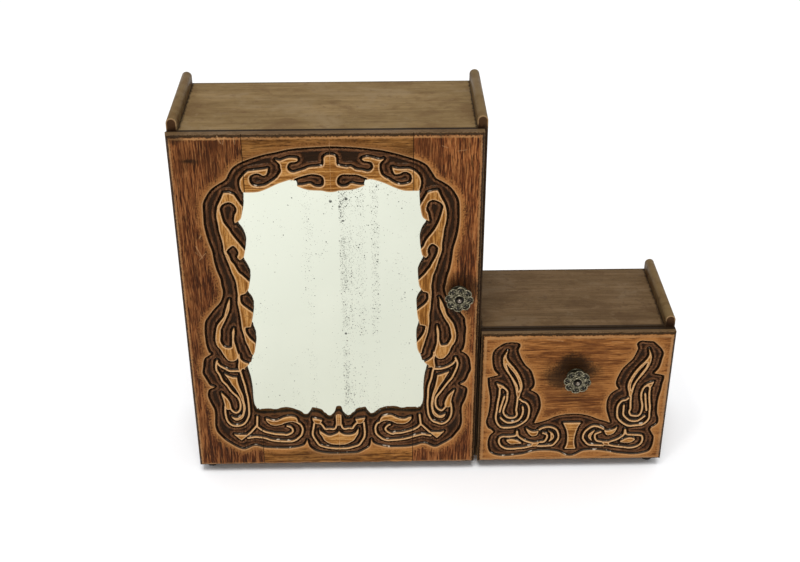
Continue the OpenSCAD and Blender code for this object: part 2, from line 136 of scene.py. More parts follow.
DOOR_BAND = [
    (-20, 340, K), (0, 340.5), (22, 339.5), (35, 338), (45, 336), (55, 333.5), (65, 330.5),
    (75, 326.5), (82, 322), (86, 316.5), (88.5, 312, K), (90.5, 309.5), (96, 306.5),
    (102, 302), (106.5, 296), (110, 288), (111, 278), (111, 268), (110, 258), (108.5, 249.5),
    (106, 240), (105, 230), (103.5, 220), (101.5, 212), (100.5, 205), (99.5, 199.5),
    (100.5, 193.5), (103, 188), (107, 183), (111.5, 178), (115, 172.5), (118, 168), (119, 163),
    (119.5, 156), (119.5, 149), (119, 141), (117.5, 133.5), (115.5, 131.5, K), (118.5, 130),
    (121.5, 127.5), (123.5, 123), (124.5, 117), (125, 111), (123.5, 105.5), (121.5, 100.5),
    (119, 96.5), (115.5, 94, K), (120, 92), (122, 89), (122.5, 85), (122, 80), (120, 74.5),
    (118, 69), (117.5, 63), (118, 56), (118, 48.5), (116.5, 41.5), (113.5, 36), (109, 30),
    (104, 26), (99, 22.5), (94.5, 20), (91, 19.5), (87.5, 21), (83, 23.5), (78.5, 23.5),
    (73, 21.5), (64, 20), (54, 19.5), (46, 20), (38, 22), (34, 24), (32, 27), (31, 29.5, K),
    (30.5, 24), (28, 20), (23.5, 16.5), (17.5, 13.5), (10.5, 12.5), (0, 12.5), (-20, 12.5, K),
]

DOOR_LAND = {
    "crown": [
        (-20, 332, K), (0, 332), (3.5, 331.5), (5, 329.5), (5, 324.5, K), (6, 322), (9, 321.5),
        (14, 321), (18, 320.5), (22, 318.5), (27, 317), (31.5, 316), (35, 317.5), (36.5, 321),
        (35.5, 324.5), (33, 326), (29, 326.5), (27.5, 327.5, K), (28, 329, K), (32, 330),
        (36, 329), (40, 327.5), (42.5, 327), (45.5, 328, K), (42, 324.5), (41.5, 321),
        (41.5, 317.5), (43, 313.5), (46, 310.5), (49.5, 308), (54.5, 305), (59.5, 303.5),
        (64, 303.5), (68, 305.5), (69, 309), (68.5, 313), (65, 316), (61.5, 316), (59, 315),
        (57, 314), (55, 314.5), (53.5, 317), (52.5, 319.5, K), (56, 319), (60, 318.5),
        (65.5, 318), (70, 316.5), (74, 313), (76.5, 309), (77, 305), (76, 301), (74.5, 297, K),
        (60, 290, K), (-20, 290, K),
    ],
    "leaf strip": [
        (83, 295.5, K), (87.5, 297.5, K), (91.5, 297, K), (94.5, 290.5), (97, 285.5),
        (98, 281), (99, 274.5), (98.5, 267), (97.5, 260), (96.5, 253), (95.5, 245.5),
        (95.5, 240), (94.5, 235), (92.5, 229.5), (91, 223.5), (89.5, 218), (88, 213),
        (87, 207), (86.5, 201.5), (86.5, 195.5), (86.5, 190.5), (86.5, 186), (86, 179),
        (85.5, 172), (85, 164.5), (84.5, 158), (83.5, 151.5), (82, 145.5), (81, 139.5),
        (79, 134), (78, 130.5, K), (62, 126, K), (62, 282, K), (76, 283, K), (79.5, 289),
    ],
    "blade": [
        (94, 190.5, K), (96.5, 185), (98.5, 179), (101, 172), (104, 167), (107, 162),
        (108.5, 157), (109.5, 151.5), (109.5, 146), (108.5, 141), (106.5, 136.5),
        (103.5, 130.5), (100, 124.5), (96.5, 123.5), (94, 124), (91.5, 126.5), (90.5, 130.5),
        (91.5, 135), (92.5, 140), (93, 145), (93, 150), (92.5, 155.5), (92.5, 159.5, K),
        (94, 155.5), (94.5, 151), (94.5, 145.5), (95, 141.5), (96, 138.5), (99.5, 137.5),
        (102.5, 139), (104.5, 142), (106, 146.5), (105.5, 152), (105, 157.5), (103, 162.5),
        (100, 167.5), (97.5, 173.5), (95.5, 179.5), (94.5, 186.5),
    ],
    "wedge": [
        (89.5, 131, K), (89, 126), (86, 122.5), (82, 120, K), (80, 117, K), (84, 113, K),
        (88, 114.5), (90, 111, K), (91, 114), (91, 118), (90.5, 122.5), (91, 126),
        (91.5, 131, K),
    ],
    "hook": [
        (101.5, 68.5, K), (101.5, 72), (102.5, 76.5), (105, 82), (109.5, 87, K), (107.5, 80),
        (107, 74), (107, 69, K), (104.5, 67.5),
    ],
    "pointed leaf": [
        (93.5, 104.5, K), (98, 105.5), (104.5, 108.5, K), (101, 102.5), (98.5, 97.5),
        (95.5, 92), (93, 86), (91, 80.5), (90, 74.5), (90, 68.5), (91, 63), (93.5, 59.5),
        (96.5, 57.5), (99.5, 58), (101.5, 59.5, K), (100.5, 57), (97.5, 55), (93.5, 56),
        (90.5, 59), (89, 64), (88, 70), (88.5, 76.5), (89.5, 83.5), (91, 90), (92.5, 96),
        (93.5, 101),
    ],
    "low leaf": [
        (39.5, 54), (41, 56.5), (44.5, 58.5), (50, 58), (54, 56), (58, 54.5), (63, 54),
        (67, 55.5), (69, 56.5, K), (68.5, 54), (65.5, 50), (61.5, 48.5), (57.5, 48.5),
        (55, 49.5), (51.5, 51.5), (46, 52.5), (42, 52), (39, 50.5, K),
    ],
    "corner wedge": [(87, 37.5, K), (94, 31, K), (100.5, 38, K), (96.5, 37), (91.5, 37)],
    "shield shoulder": [(16, 54, K), (25, 56, K), (24, 52), (21.5, 50), (18, 49.5, K)],
    "shield bar": [(-20, 47.5, K), (2.5, 47.5, K), (2.5, 65, K), (-20, 65, K)],
    "shield crescent": [
        (18.5, 42.5, K), (18, 37.5), (16.5, 34), (14, 30), (10.5, 27), (6, 25), (0, 24.5),
        (-20, 24.5, K), (-20, 39.5, K), (0, 39.5, K), (3.5, 36.5), (8, 35), (12, 35.5),
        (15.5, 37.5), (17.5, 40.5),
    ],
}

DOOR_POCKETS = [
    [(5, 307), (6, 311), (10, 314), (16.5, 314.5), (23, 313.5), (28, 311.5), (31.5, 310, K),
     (30, 304, K), (27, 303.5), (22, 304.5), (17.5, 305), (14.5, 303), (11, 302), (8, 302.5),
     (6, 304)],
    [(88, 289), (93.5, 287), (96, 282.5), (96, 278.5), (94, 270), (90.5, 262.5), (88, 257),
     (84, 251), (81, 247), (79.5, 243), (76, 239, K), (68, 238, K), (68, 266, K), (84, 268, K),
     (84, 271, K), (83, 276.5), (81.5, 279), (81.5, 283), (84, 287.5)],
    [(88, 246), (92.5, 242), (93, 239), (92, 235.5), (90, 230.5), (88, 226.5), (86, 222),
     (83.5, 218), (80.5, 214.5), (76, 209, K), (66, 206, K), (66, 229, K), (81.5, 231, K),
     (83.5, 234), (83, 237), (83, 240.5), (85, 244.5)],
    [(82.5, 196), (84.5, 194.5), (85, 190.5), (84, 187), (82, 183.5), (78.5, 180.5),
     (74, 176, K), (66, 175, K), (66, 195, K), (79.5, 196.5, K)],
    [(79.5, 161), (82, 160), (82, 157), (81, 152.5), (78.5, 148), (75.5, 144), (72, 140, K),
     (64, 139, K), (64, 160, K), (76, 161.5, K)],
]

DOOR_RIDGES = [
    [(90, 112), (89, 107.5), (88, 101.5), (86.5, 95), (85.5, 88.5), (85, 81), (84.5, 72),
     (85, 62.5), (86.5, 56.5), (89.5, 51.5), (93.5, 49), (98, 48), (102, 49.5), (105.5, 53.5),
     (107, 58.5), (107.5, 65), (107, 72)],
    [(110, 124), (112, 118.5), (111.5, 113.5), (109.5, 108), (107, 101.5), (103.5, 96),
     (99.5, 89.5), (95.5, 84), (93, 80), (92, 75), (92.5, 69.5), (94.5, 65.5), (97.5, 64),
     (100, 65.5), (102, 69)],
    [(90.5, 112), (95.5, 112), (100, 113), (104, 114.5), (108, 118), (110, 121)],
    [(39, 51), (36.5, 48.5), (35, 44.5), (35, 40.5), (36, 36.5), (38.5, 33), (42, 30),
     (46.5, 28.5), (51.5, 28.5), (58, 29), (65.5, 30.5), (72, 33), (80, 35), (84, 34.5),
     (88, 33.5)],
    [(77.5, 58.5), (78.5, 47.5)],
    [(78.5, 47.5), (81, 44.5), (84.5, 40.5), (87, 38)],
    [(78.5, 47.5), (74.5, 43.5), (70.5, 41), (66, 39), (60, 37.5), (53.5, 37), (51, 36.5),
     (46.5, 38.5), (44.5, 41.5), (45, 44.5), (47, 46.5), (49, 47.5)],
    [(24, 50), (24.5, 44), (25, 38.5), (24, 33), (21.5, 27.5), (18.5, 23.5), (13.5, 21),
     (7, 19.5), (0, 19)],
    [(17, 49.5), (15, 47), (13.5, 44), (12, 43), (9, 43.5), (5.5, 43), (3, 44.5), (2.5, 47.5)],
]

DRAWER_BAND = [
    (54.5, 139, K), (58, 140.5), (63.5, 140.5), (69, 139.5), (74, 136), (78, 131), (80, 125.5),
    (79.5, 119), (78.5, 112.5), (77, 108), (73.5, 103.5, K), (78.5, 102.5), (83.5, 101, K),
    (83.5, 96.5), (82.5, 91), (81.5, 84), (80.5, 75), (80.5, 66), (81.5, 57), (83, 50),
    (83, 45), (80.5, 41), (77.5, 39), (76, 36.5, K), (78.5, 33), (80.5, 28), (81, 21.5),
    (80, 15), (77.5, 10.5), (72, 7.5), (63.5, 6), (54.5, 7), (45.5, 8.5), (36.5, 11),
    (27.5, 12), (18, 12), (11.5, 11), (5.5, 7), (0, 5.5), (-20, 5.5, K), (-20, 57.5, K),
    (0, 57.5), (10, 56.5), (18, 54), (24, 51), (30.5, 48.5), (36, 46.5, K), (33.5, 54.5),
    (31.5, 61), (31, 67), (31.5, 73.5), (33.5, 79.5), (37, 83.5), (41, 85.5, K), (38.5, 89),
    (38, 94.5), (39.5, 101), (42.5, 108.5), (47, 114.5), (51.5, 121), (54, 126.5),
    (55, 131.5), (53.5, 136),
]

DRAWER_LAND = {
    "post": [
        (-20, 46, K), (8, 46, K), (6, 41), (4, 35), (3, 28.5), (3.5, 21.5), (5, 15, K),
        (-20, 15, K),
    ],
    "bowl": [
        (32, 37, K), (32.5, 34), (34, 31.5), (37.5, 31), (41, 33.5), (43, 38),
        (43.5, 40, K), (40.5, 37.5), (37.5, 36), (34.5, 36),
    ],
    "foot": [(30, 23, K), (33, 18, K), (38, 18, K), (37, 22.5, K)],
    "crescent": [
        (22.5, 36.5, K), (19, 34), (17, 31.5), (17, 29), (18, 26.5), (21, 24, K),
        (19.5, 27.5), (19.5, 31), (20.5, 34),
    ],
    "pebble": [(48, 22.5), (52, 25), (57, 27), (62, 25.5), (58, 21.5), (53, 21.5)],
    "flame": [
        (65.5, 130.5, K), (68.5, 124.5), (69, 120.5), (68, 114), (65.5, 107.5), (62, 101.5),
        (58, 94.5), (56, 88), (55, 81.5), (54, 77), (52.5, 77), (51.5, 81.5), (50.5, 85.5),
        (50, 91), (51.5, 98), (55, 105.5), (59.5, 112), (64.5, 118), (66.5, 124),
    ],
    "upper tip": [(66.5, 88), (69, 89), (71, 87), (74, 93.5, K), (68, 90.5)],
}

DRAWER_POCKETS = [
    [(66, 116.5), (65, 110), (62, 104.5), (58.5, 98.5), (55, 91), (53.5, 84), (52.5, 87),
     (52.5, 92), (54.5, 98.5), (58, 105), (62, 111)],
]

DRAWER_RIDGES = [
    [(31, 38.5), (28.5, 40), (24, 41.5), (19.5, 41), (15, 38), (12.5, 33), (12, 27.5),
     (14, 23), (17.5, 19.5), (22, 18.5), (27, 18.5), (32, 18.5)],
    [(38, 18.5), (44.5, 17), (52, 15.5), (58, 15), (63.5, 16), (67.5, 19), (69.5, 23.5),
     (69, 28.5), (66, 30.5), (60.5, 30.5), (53.5, 31.5), (52, 36.5, K), (51, 31.5),
     (48.5, 28), (44.5, 25), (39.5, 23), (36, 22)],
    [(28, 34.5), (24.5, 33), (23, 31), (23.5, 27), (26, 23.5), (29.5, 23)],
    [(53.5, 76.5), (54, 69), (54.5, 62), (53.5, 58), (55, 54.5), (58, 53.5), (62, 53.5),
     (65, 56.5), (66, 61), (65.5, 66.5), (64, 73), (63.5, 79.5), (64, 84.5), (66.5, 88),
     (69.5, 89), (71, 86.5), (71, 80), (72, 71.5), (73, 63.5), (73.5, 56.5), (73.5, 51),
     (71.5, 46), (67.5, 42.5), (61.5, 41.5), (55, 42), (48.5, 45.5), (44, 50.5), (42.5, 56),
     (42.5, 63), (43.5, 68), (46, 71.5), (49, 72.5), (51.5, 75)],
    [(48.5, 66), (48, 61), (49, 55), (52, 50.5), (57, 47.5), (62, 47.5), (66, 49.5),
     (69, 53.5)],
    [(67, 79), (69, 67), (70, 60)],
]


# Scratches: two ends (from the board's lower left corner), width and strength
DOOR_MARKS = [
    ((17, 246), (22, 234), 0.5, 0.7), ((19, 232), (25, 239), 0.4, 0.6),
    ((20, 236), (16, 240), 0.4, 0.5), ((21, 254), (22, 257), 0.6, 0.6),
    ((43, 350), (46, 344), 0.5, 0.8), ((49, 349), (47.5, 343), 0.4, 0.6),
    ((57, 349), (57.5, 343), 0.5, 0.5), ((37, 287), (38, 288), 0.6, 0.9),
    ((28, 80), (30, 70), 0.4, 0.5), ((231, 340), (236, 338), 0.4, 0.6),
    ((244, 335), (252, 336), 0.4, 0.5), ((255, 120), (256, 108), 0.4, 0.5),
]
DRAWER_MARKS = [
    ((60, 143), (75, 141), 0.5, 0.5), ((100, 118), (104, 117.5), 0.5, 0.5),
    ((66, 104), (66.5, 98), 0.5, 0.4), ((120, 140), (131, 139), 0.4, 0.5),
]


def curve(points, closed=True, steps=3):
    """Points along the smooth curve through points, which breaks at the sharp corners."""
    spots = [np.array(p[:2], float) for p in points]
    sharp = [len(p) == 3 for p in points]
    count = len(spots)
    if not closed:
        sharp[0] = sharp[-1] = True
    result = []
    for i in range(count if closed else count - 1):
        nxt = (i + 1) % count
        b, c = spots[i], spots[nxt]
        a = b if sharp[i] else spots[i - 1]
        d = c if sharp[nxt] else spots[(i + 2) % count]
        for k in range(steps):
            t = k / steps
            result.append(0.5 * (2 * b + (c - a) * t + (2 * a - 5 * b + 4 * c - d) * t * t
                                 + (3 * b - a - 3 * c + d) * t ** 3))
    if not closed:
        result.append(spots[-1])
    return np.array(result)


REACH = 8.0      # distances to an outline stop counting here


def nearest_spot(x, y, a, b):
    """How far along the line from a to b its nearest spot to (x, y) lies, as a share, and
    the distance to that spot."""
    d = b - a
    share = np.clip(((x - a[0]) * d[0] + (y - a[1]) * d[1]) / max(d @ d, 1e-9), 0, 1)
    return share, np.hypot(x - a[0] - share * d[0], y - a[1] - share * d[1])


class Grid:
    """Distances to outlines, at the places of a grid."""

    def __init__(self, across, up):
        self.h = across
        self.z = up
        self.shape = (len(up), len(across))

    def distance(self, line, closed):
        """The distance to a line, up to REACH."""
        result = np.full(self.shape, REACH)
        ends = np.roll(line, -1, axis=0) if closed else line[1:]
        starts = line if closed else line[:-1]
        for a, b in zip(starts, ends):
            i0, i1 = np.searchsorted(self.h, [min(a[0], b[0]) - REACH, max(a[0], b[0]) + REACH])
            j0, j1 = np.searchsorted(self.z, [min(a[1], b[1]) - REACH, max(a[1], b[1]) + REACH])
            _, gap = nearest_spot(self.h[None, i0:i1], self.z[j0:j1, None], a, b)
            result[j0:j1, i0:i1] = np.minimum(result[j0:j1, i0:i1], gap)
        return result

    def inside(self, line):
        """Whether each place is inside a closed line."""
        result = np.zeros(self.shape, bool)
        for a, b in zip(line, np.roll(line, -1, axis=0)):
            if a[1] == b[1]:
                continue
            low, high = (a, b) if a[1] < b[1] else (b, a)
            j0, j1 = np.searchsorted(self.z, [low[1], high[1]])
            z = self.z[j0:j1]
            cross = low[0] + (high[0] - low[0]) * (z - low[1]) / (high[1] - low[1])
            result[j0:j1] ^= self.h[None, :] > cross[:, None]
        return result

    def signed(self, points):
        """Negative inside the outline and positive outside it."""
        line = curve(points)
        gap = self.distance(line, True)
        return np.where(self.inside(line), -gap, gap)


def jitter(points, rng, amount=0.22):
    """The points, each moved a little, as two hand-cut halves are never quite alike."""
    moved = []
    for p in points:
        step = rng.normal(0, amount, 2)
        if abs(p[0]) < 1 or p[0] < 0:
            step[0] = 0
        moved.append((p[0] + step[0], p[1] + step[1]) + tuple(p[2:]))
    return moved


RIDGE_HALF_W = 0.62


def carve(half, band, land, pockets, ridges, seed):
    """How far into a groove each grid point is (negative on the wood left standing), and
    whether it is in the carved band at all."""
    rng = np.random.default_rng(seed)
    in_band = -half.signed(jitter(band, rng))
    standing = np.full(half.shape, REACH)
    for outline in land.values():
        standing = np.minimum(standing, half.signed(jitter(outline, rng)))
    for outline in pockets:
        standing = np.maximum(standing, -half.signed(jitter(outline, rng)))
    for line in ridges:
        path = curve(jitter(line, rng), closed=False)
        standing = np.minimum(standing, half.distance(path, False) - RIDGE_HALF_W)
    return np.minimum(in_band, standing), in_band


def smoothstep(x, low, high):
    t = np.clip((x - low) / (high - low), 0, 1)
    return t * t * (3 - 2 * t)


def waves(u, w, seed, size, terms=9):
    """Gentle unevenness between about -1 and 1, with features of about that size."""
    rng = np.random.default_rng(seed)
    total = np.zeros(np.broadcast(u, w).shape)
    for _ in range(terms):
        angle, phase = rng.uniform(0, 2 * math.pi, 2)
        k = 2 * math.pi / (size * rng.uniform(0.6, 1.7))
        total += np.sin(k * (u * math.cos(angle) + w * math.sin(angle)) + phase)
    return total / math.sqrt(terms)


GROOVE_DEPTH = 3.0
GROOVE_WALL = 1.2      # width of the groove's steep wall
CREST_RISE = 1.7
ROUNDING = 0.22        # how far the groove's upper edge is rounded off
UNEVEN = 0.10
SHALLOWEST = 0.02
DEEPEST = 4.6
HALVES_MEET = 9.0      # width over which the two halves of a carving blend
NEAR = 1e-3            # places closer together than this are the same place


def crest_height(edge):
    """1 on the crest between two gouge cuts, 0 in the cuts."""
    return smoothstep(edge, 1.5, 3.0) * (1 - 0.8 * smoothstep(edge, 4.1, 5.5))


def groove_depth(edge):
    """Depth below the face: a steep wall, then gouge cuts with a crest between them."""
    wall = smoothstep(edge, 0.0, GROOVE_WALL)
    rounding = ROUNDING * np.exp(-np.abs(edge) / 0.55)
    return (GROOVE_DEPTH - ROUNDING) * wall - CREST_RISE * crest_height(edge) + rounding


class Board:
    """A carved board's grid: depth below its face and the distances that its finish follows."""

    def __init__(self, low, width, height, middle, counts, parts, seed, marks):
        self.low = low
        self.width = width
        self.height = height
        self.u = np.linspace(0, width, counts[0] + 1)
        self.w = np.linspace(0, height, counts[1] + 1)
        edge, band = self.carving(middle, parts, seed)
        u, w = np.meshgrid(self.u, self.w)
        rim = np.minimum(np.minimum(u, width - u), np.minimum(w, height - w))
        depth = self.relief(edge, rim, u, w, seed)
        mark = self.scratches(marks, u, w)
        self.fields = {"edge": edge, "band": band, "rim": rim, "depth": depth, "mark": mark}

    def carving(self, middle, parts, seed):
        """What carve() gives for the whole board: two hand-cut halves, blended where they meet."""
        step = self.width / (len(self.u) - 1)
        reach = max(middle, self.width - middle)
        half = Grid(np.arange(0, reach + step, step), self.w)
        offset = self.u - middle
        gap = np.abs(offset)
        index = np.rint(gap / step).astype(int)
        left, right = (np.array(carve(half, *parts, s))[:, :, index] for s in (seed, seed + 1))
        own = np.where(offset < 0, left, right)
        other = np.where(offset < 0, right, left)
        share = 0.5 + 0.5 * smoothstep(gap, 0, HALVES_MEET)
        # A column that rounding puts just left of the middle is in neither half and stays zero.
        neither = (offset > -NEAR) & (offset < 0)
        return np.where(neither, 0, own * share + other * (1 - share))

    def relief(self, edge, rim, u, w, seed):
        """Depth below the face: the grooves, a gently uneven surface and a worn bevel."""
        depth = groove_depth(edge)
        depth += UNEVEN * (waves(u, w, seed + 5, 26) + 1)
        depth += UNEVEN * smoothstep(edge, 1, 3) * waves(u, w, seed + 6, 5)
        worn = CHAMFER - rim + 0.25 * waves(u, w, seed + 7, 14)
        bevel = 0.5 * (worn + np.sqrt(worn * worn + 0.25))
        depth = np.clip(depth + bevel, SHALLOWEST, DEEPEST)
        return np.where(rim < NEAR, CHAMFER, depth)

    def scratches(self, marks, u, w):
        """How strongly each grid point is scratched, 0 to 1."""
        result = np.zeros(u.shape)
        for start, end, wide, strength in marks:
            _, gap = nearest_spot(u, w, np.array(start), np.array(end))
            result = np.maximum(result, strength * (1 - smoothstep(gap, 0.4 * wide, wide)))
        return result

    def sample(self, name, u, w):
        """A field's value between grid points."""
        field = self.fields[name]
        fu = np.clip(u / self.width * (len(self.u) - 1), 0, len(self.u) - 1.001)
        fw = np.clip(w / self.height * (len(self.w) - 1), 0, len(self.w) - 1.001)
        i, j = fu.astype(int), fw.astype(int)
        a, b = fu - i, fw - j
        return ((field[j, i] * (1 - a) + field[j, i + 1] * a) * (1 - b)
                + (field[j + 1, i] * (1 - a) + field[j + 1, i + 1] * a) * b)


def nearest_on(line, points):
    """The nearest point of a closed line to each of the points."""
    best = np.full(len(points), 1e9)
    result = points.copy()
    for a, b in zip(line, np.roll(line, -1, axis=0)):
        share, gap = nearest_spot(*points.T, a, b)
        closer = gap < best
        best[closer] = gap[closer]
        result[closer] = a + share[closer, None] * (b - a)
    return result


def new_piece(name, data):
    """An object with this data, in the scene."""
    piece = bpy.data.objects.new(name, data)
    bpy.context.scene.collection.objects.link(piece)
    return piece


def new_object(name, vertices, faces, materials, material_index, smooth):
    """A mesh object from layout-frame vertices in millimetres."""
    mesh = bpy.data.meshes.new(name)
    scaled = np.asarray(vertices, float) * MM + np.array(ORIGIN)
    mesh.from_pydata(scaled.tolist(), [], faces)
    for material in materials:
        mesh.materials.append(material)
    mesh.polygons.foreach_set("material_index", np.asarray(material_index, np.int32))
    mesh.polygons.foreach_set("use_smooth", np.asarray(smooth, bool))
    mesh.update()
    return new_piece(name, mesh)


def hand_over(piece, slot, body, *replaced):
    """Hides the CAD nodes that this piece stands for and puts it on its body. slot is not used."""
    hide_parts(*replaced)
    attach(piece, body)


class Parts:
    """Vertices and faces of several shapes that become one piece."""

    def __init__(self):
        self.vertices = []
        self.faces = []
        self.kinds = []

    def add(self, vertices, faces, kind=0):
        base = len(self.vertices)
        self.vertices += [tuple(v) for v in vertices]
        self.faces += [[base + k for k in face] for face in faces]
        self.kinds += [kind] * len(faces)

    def skin(self, points, around, closed, kind):
        """A skin over rings of points, with a cap at either end unless they close up."""
        rings = len(points) // around
        faces = []
        for j in range(rings if closed else rings - 1):
            here, there = j * around, (j + 1) % rings * around
            for k in range(around):
                n = (k + 1) % around
                faces.append((here + k, here + n, there + n, there + k))
        if not closed:
            faces.append(range(around))
            faces.append(range(len(points) - around, len(points)))
        self.add(points, faces, kind)

    def lathe(self, profile, centre, along="y", kind=0, steps=32, scallop=None):
        """A profile of (radius, distance along the axis) turned about an axis."""
        cx, cy, cz = centre
        points = []
        for radius, far in profile:
            for k in range(steps):
                a = 2 * math.pi * k / steps
                r = radius * (scallop(a) if scallop else 1.0)
                p, q = r * math.cos(a), r * math.sin(a)
                points.append((cx + p, cy + far, cz + q) if along == "y"
                              else (cx + p, cy + q, cz + far))
        self.skin(points, steps, False, kind)

    def tube(self, path, radius, closed=True, kind=0, sides=7):
        """A round wire along a path that lies roughly square to the y axis."""
        path = np.asarray(path, float)
        if closed:
            heading = np.roll(path, -1, axis=0) - np.roll(path, 1, axis=0)
        else:
            heading = np.gradient(path, axis=0)
        heading /= np.linalg.norm(heading, axis=1)[:, None]
        points = []
        for spot, t in zip(path, heading):
            side = np.cross(t, (0.0, 1.0, 0.0))
            side /= np.linalg.norm(side)
            lift = np.cross(side, t)
            for k in range(sides):
                a = 2 * math.pi * k / sides
                points.append(spot + radius * (math.cos(a) * side + math.sin(a) * lift))
        self.skin(points, sides, closed, kind)

    def piece(self, name, materials, slot, body, *replaced):
        """The object made of these parts, handed over to the frame."""
        thing = new_object(name, self.vertices, self.faces, materials, self.kinds,
                           [True] * len(self.faces))
        bm = bmesh.new()
        bm.from_mesh(thing.data)
        bmesh.ops.recalc_face_normals(bm, faces=bm.faces)
        bm.to_mesh(thing.data)
        bm.free()
        hand_over(thing, slot, body, *replaced)
        return thing


SEAM_DEPTH = 0.4                # the fine groove where two of the door's members meet
FAR_FROM_MOUTH = 20.0
FACE, EDGE, MOUTH = 0, 1, 2     # a member's materials, in the order of its slots


class Member:
    """One piece of a carved board, with its face, edges and back. levels lists boxes
    ((x0, x1), (z0, z1), y) whose back lies at y instead of at the board's back."""

    def __init__(self, board, x_range, z_range, levels, opening=None):
        self.board = board
        self.x_range = x_range
        self.z_range = z_range
        self.levels = levels
        self.opening = opening
        self.parts = Parts()
        u, w = (line[(line >= low - NEAR) & (line <= high + NEAR)]
                for line, (low, high) in ((board.u, x_range), (board.w, z_range)))
        self.ids = np.arange(len(w) * len(u)).reshape(len(w), len(u))
        self.spots = np.stack(np.meshgrid(u, w), -1).reshape(-1, 2)
        self.keep = np.ones((len(w) - 1, len(u) - 1), bool)
        self.mouth_edges = []
        if opening is not None:
            self.keep = ~Grid((u[:-1] + u[1:]) / 2, (w[:-1] + w[1:]) / 2).inside(opening)
            self.find_mouth()
        self.add_face()
        self.add_edges()
        if opening is not None:
            self.add_wall(self.mouth_edges, (0, 0), MOUTH)
            self.add_rebate_floor()
        self.add_back()

    def at(self, spot, y):
        """A place on the board, at a depth behind its face, as a layout point."""
        return (self.board.low[0] + spot[0], y, self.board.low[1] + spot[1])

    def level_at(self, x, z):
        for (x0, x1), (z0, z1), y in self.levels:
            if x0 < x < x1 and z0 < z < z1:
                return y
        return FRONT_T

    def find_mouth(self):
        """Lists the edges between kept and cut cells, and moves them onto the opening."""
        solid = np.pad(self.keep, 1, constant_values=True)
        rows, columns = self.ids.shape
        for dj, di, a, b in ((0, 1, (0, 1), (1, 1)), (1, 0, (1, 1), (1, 0)),
                             (0, -1, (1, 0), (0, 0)), (-1, 0, (0, 0), (0, 1))):
            beside = solid[1 + dj:rows + dj, 1 + di:columns + di]
            jj, ii = np.where(self.keep & ~beside)
            self.mouth_edges += zip(self.ids[jj + a[0], ii + a[1]],
                                    self.ids[jj + b[0], ii + b[1]])
        ends = np.unique(self.mouth_edges)
        old = self.spots[ends]
        moved = nearest_on(self.opening, old)
        on_side = np.isclose(old[:, :1], self.x_range, rtol=0, atol=NEAR).any(axis=1)
        moved[on_side, 0] = old[on_side, 0]
        self.spots[ends] = moved

    def add_face(self):
        ids = self.ids
        quads = np.stack([ids[:-1, :-1], ids[:-1, 1:], ids[1:, 1:], ids[1:, :-1]], -1)[self.keep]
        used = np.unique(quads)
        self.number = np.full(ids.size, -1)
        self.number[used] = np.arange(len(used))
        self.face = self.spots[used]
        x = self.face[:, 0]
        low, high = self.x_range
        self.on_seam = ((np.abs(x - low) < NEAR) & (low > NEAR)
                        | (np.abs(x - high) < NEAR) & (high < self.board.width - NEAR))
        self.depth = self.board.sample("depth", *self.face.T) + SEAM_DEPTH * self.on_seam
        self.parts.add(np.stack(self.at(self.face.T, self.depth), 1),
                       self.number[quads].tolist(), FACE)

    def add_wall(self, edges, inward, kind):
        """A wall from edges of the carved face to the back."""
        points, polygons = [], []
        for a, b in edges:
            pa, pb = self.spots[a], self.spots[b]
            y = self.level_at(*((pa + pb) / 2 + 0.1 * np.array(inward)))
            k = len(points)
            points += [self.at(pa, self.depth[self.number[a]]),
                       self.at(pb, self.depth[self.number[b]]), self.at(pb, y), self.at(pa, y)]
            polygons.append((k + 3, k + 2, k + 1, k))
        self.parts.add(points, polygons, kind)

    def add_edges(self):
        """The member's four outer edges."""
        ids, keep = self.ids, self.keep
        for line, kept, inward in ((ids[0], keep[0], (0, 1)),
                                   (ids[:, -1], keep[:, -1], (-1, 0)),
                                   (ids[-1, ::-1], keep[-1, ::-1], (0, -1)),
                                   (ids[::-1, 0], keep[::-1, 0], (1, 0))):
            edges = [(a, b) for a, b, there in zip(line, line[1:], kept) if there]
            self.add_wall(edges, inward, EDGE)

    def add_rebate_floor(self):
        """The floor of the rebate round the opening, which the mirror lies on."""
        follow = dict(self.mouth_edges)
        chains = []
        for start in sorted(set(follow) - set(follow.values())):
            chain = [start]
            while chain[-1] in follow:
                chain.append(follow[chain[-1]])
            chains.append(chain)
        heading = sum(self.spots[chain[-1]] - self.spots[chain[0]] for chain in chains)
        chains.sort(key=lambda chain: self.spots[chain[0]] @ heading)
        path = np.concatenate([self.spots[chain] for chain in chains])
        (x0, x1), (z0, z1) = ((max(own[0], cut[0]), min(own[1], cut[1])) for own, cut in
                              ((self.x_range, REBATE_X), (self.z_range, REBATE_Z)))
        corners = [np.array(c) for c in ((x0, z0), (x1, z0), (x1, z1), (x0, z1))]
        loop = [tuple(p) for p in path] + close_loop(path, corners)
        oriented = []
        for a, b, c in tessellate_polygon([[Vector((*p, 0)) for p in loop]]):
            pa, pb, pc = (np.array(loop[k]) for k in (a, b, c))
            area = np.cross(pb - pa, pc - pa)
            if abs(area) > 1e-9:
                oriented.append((a, c, b) if area > 0 else (a, b, c))
        self.parts.add([self.at(p, GLASS_Y) for p in loop], oriented, EDGE)

    def add_quad(self, *corners):
        self.parts.add([self.at((x, z), y) for x, z, y in corners], [(0, 1, 2, 3)], EDGE)

    def add_back(self):
        """The back, stepped where other parts are let in."""
        def stops(own, boxes):
            inner = {stop for box in boxes for stop in box if own[0] < stop < own[1]}
            return sorted(inner | set(own))

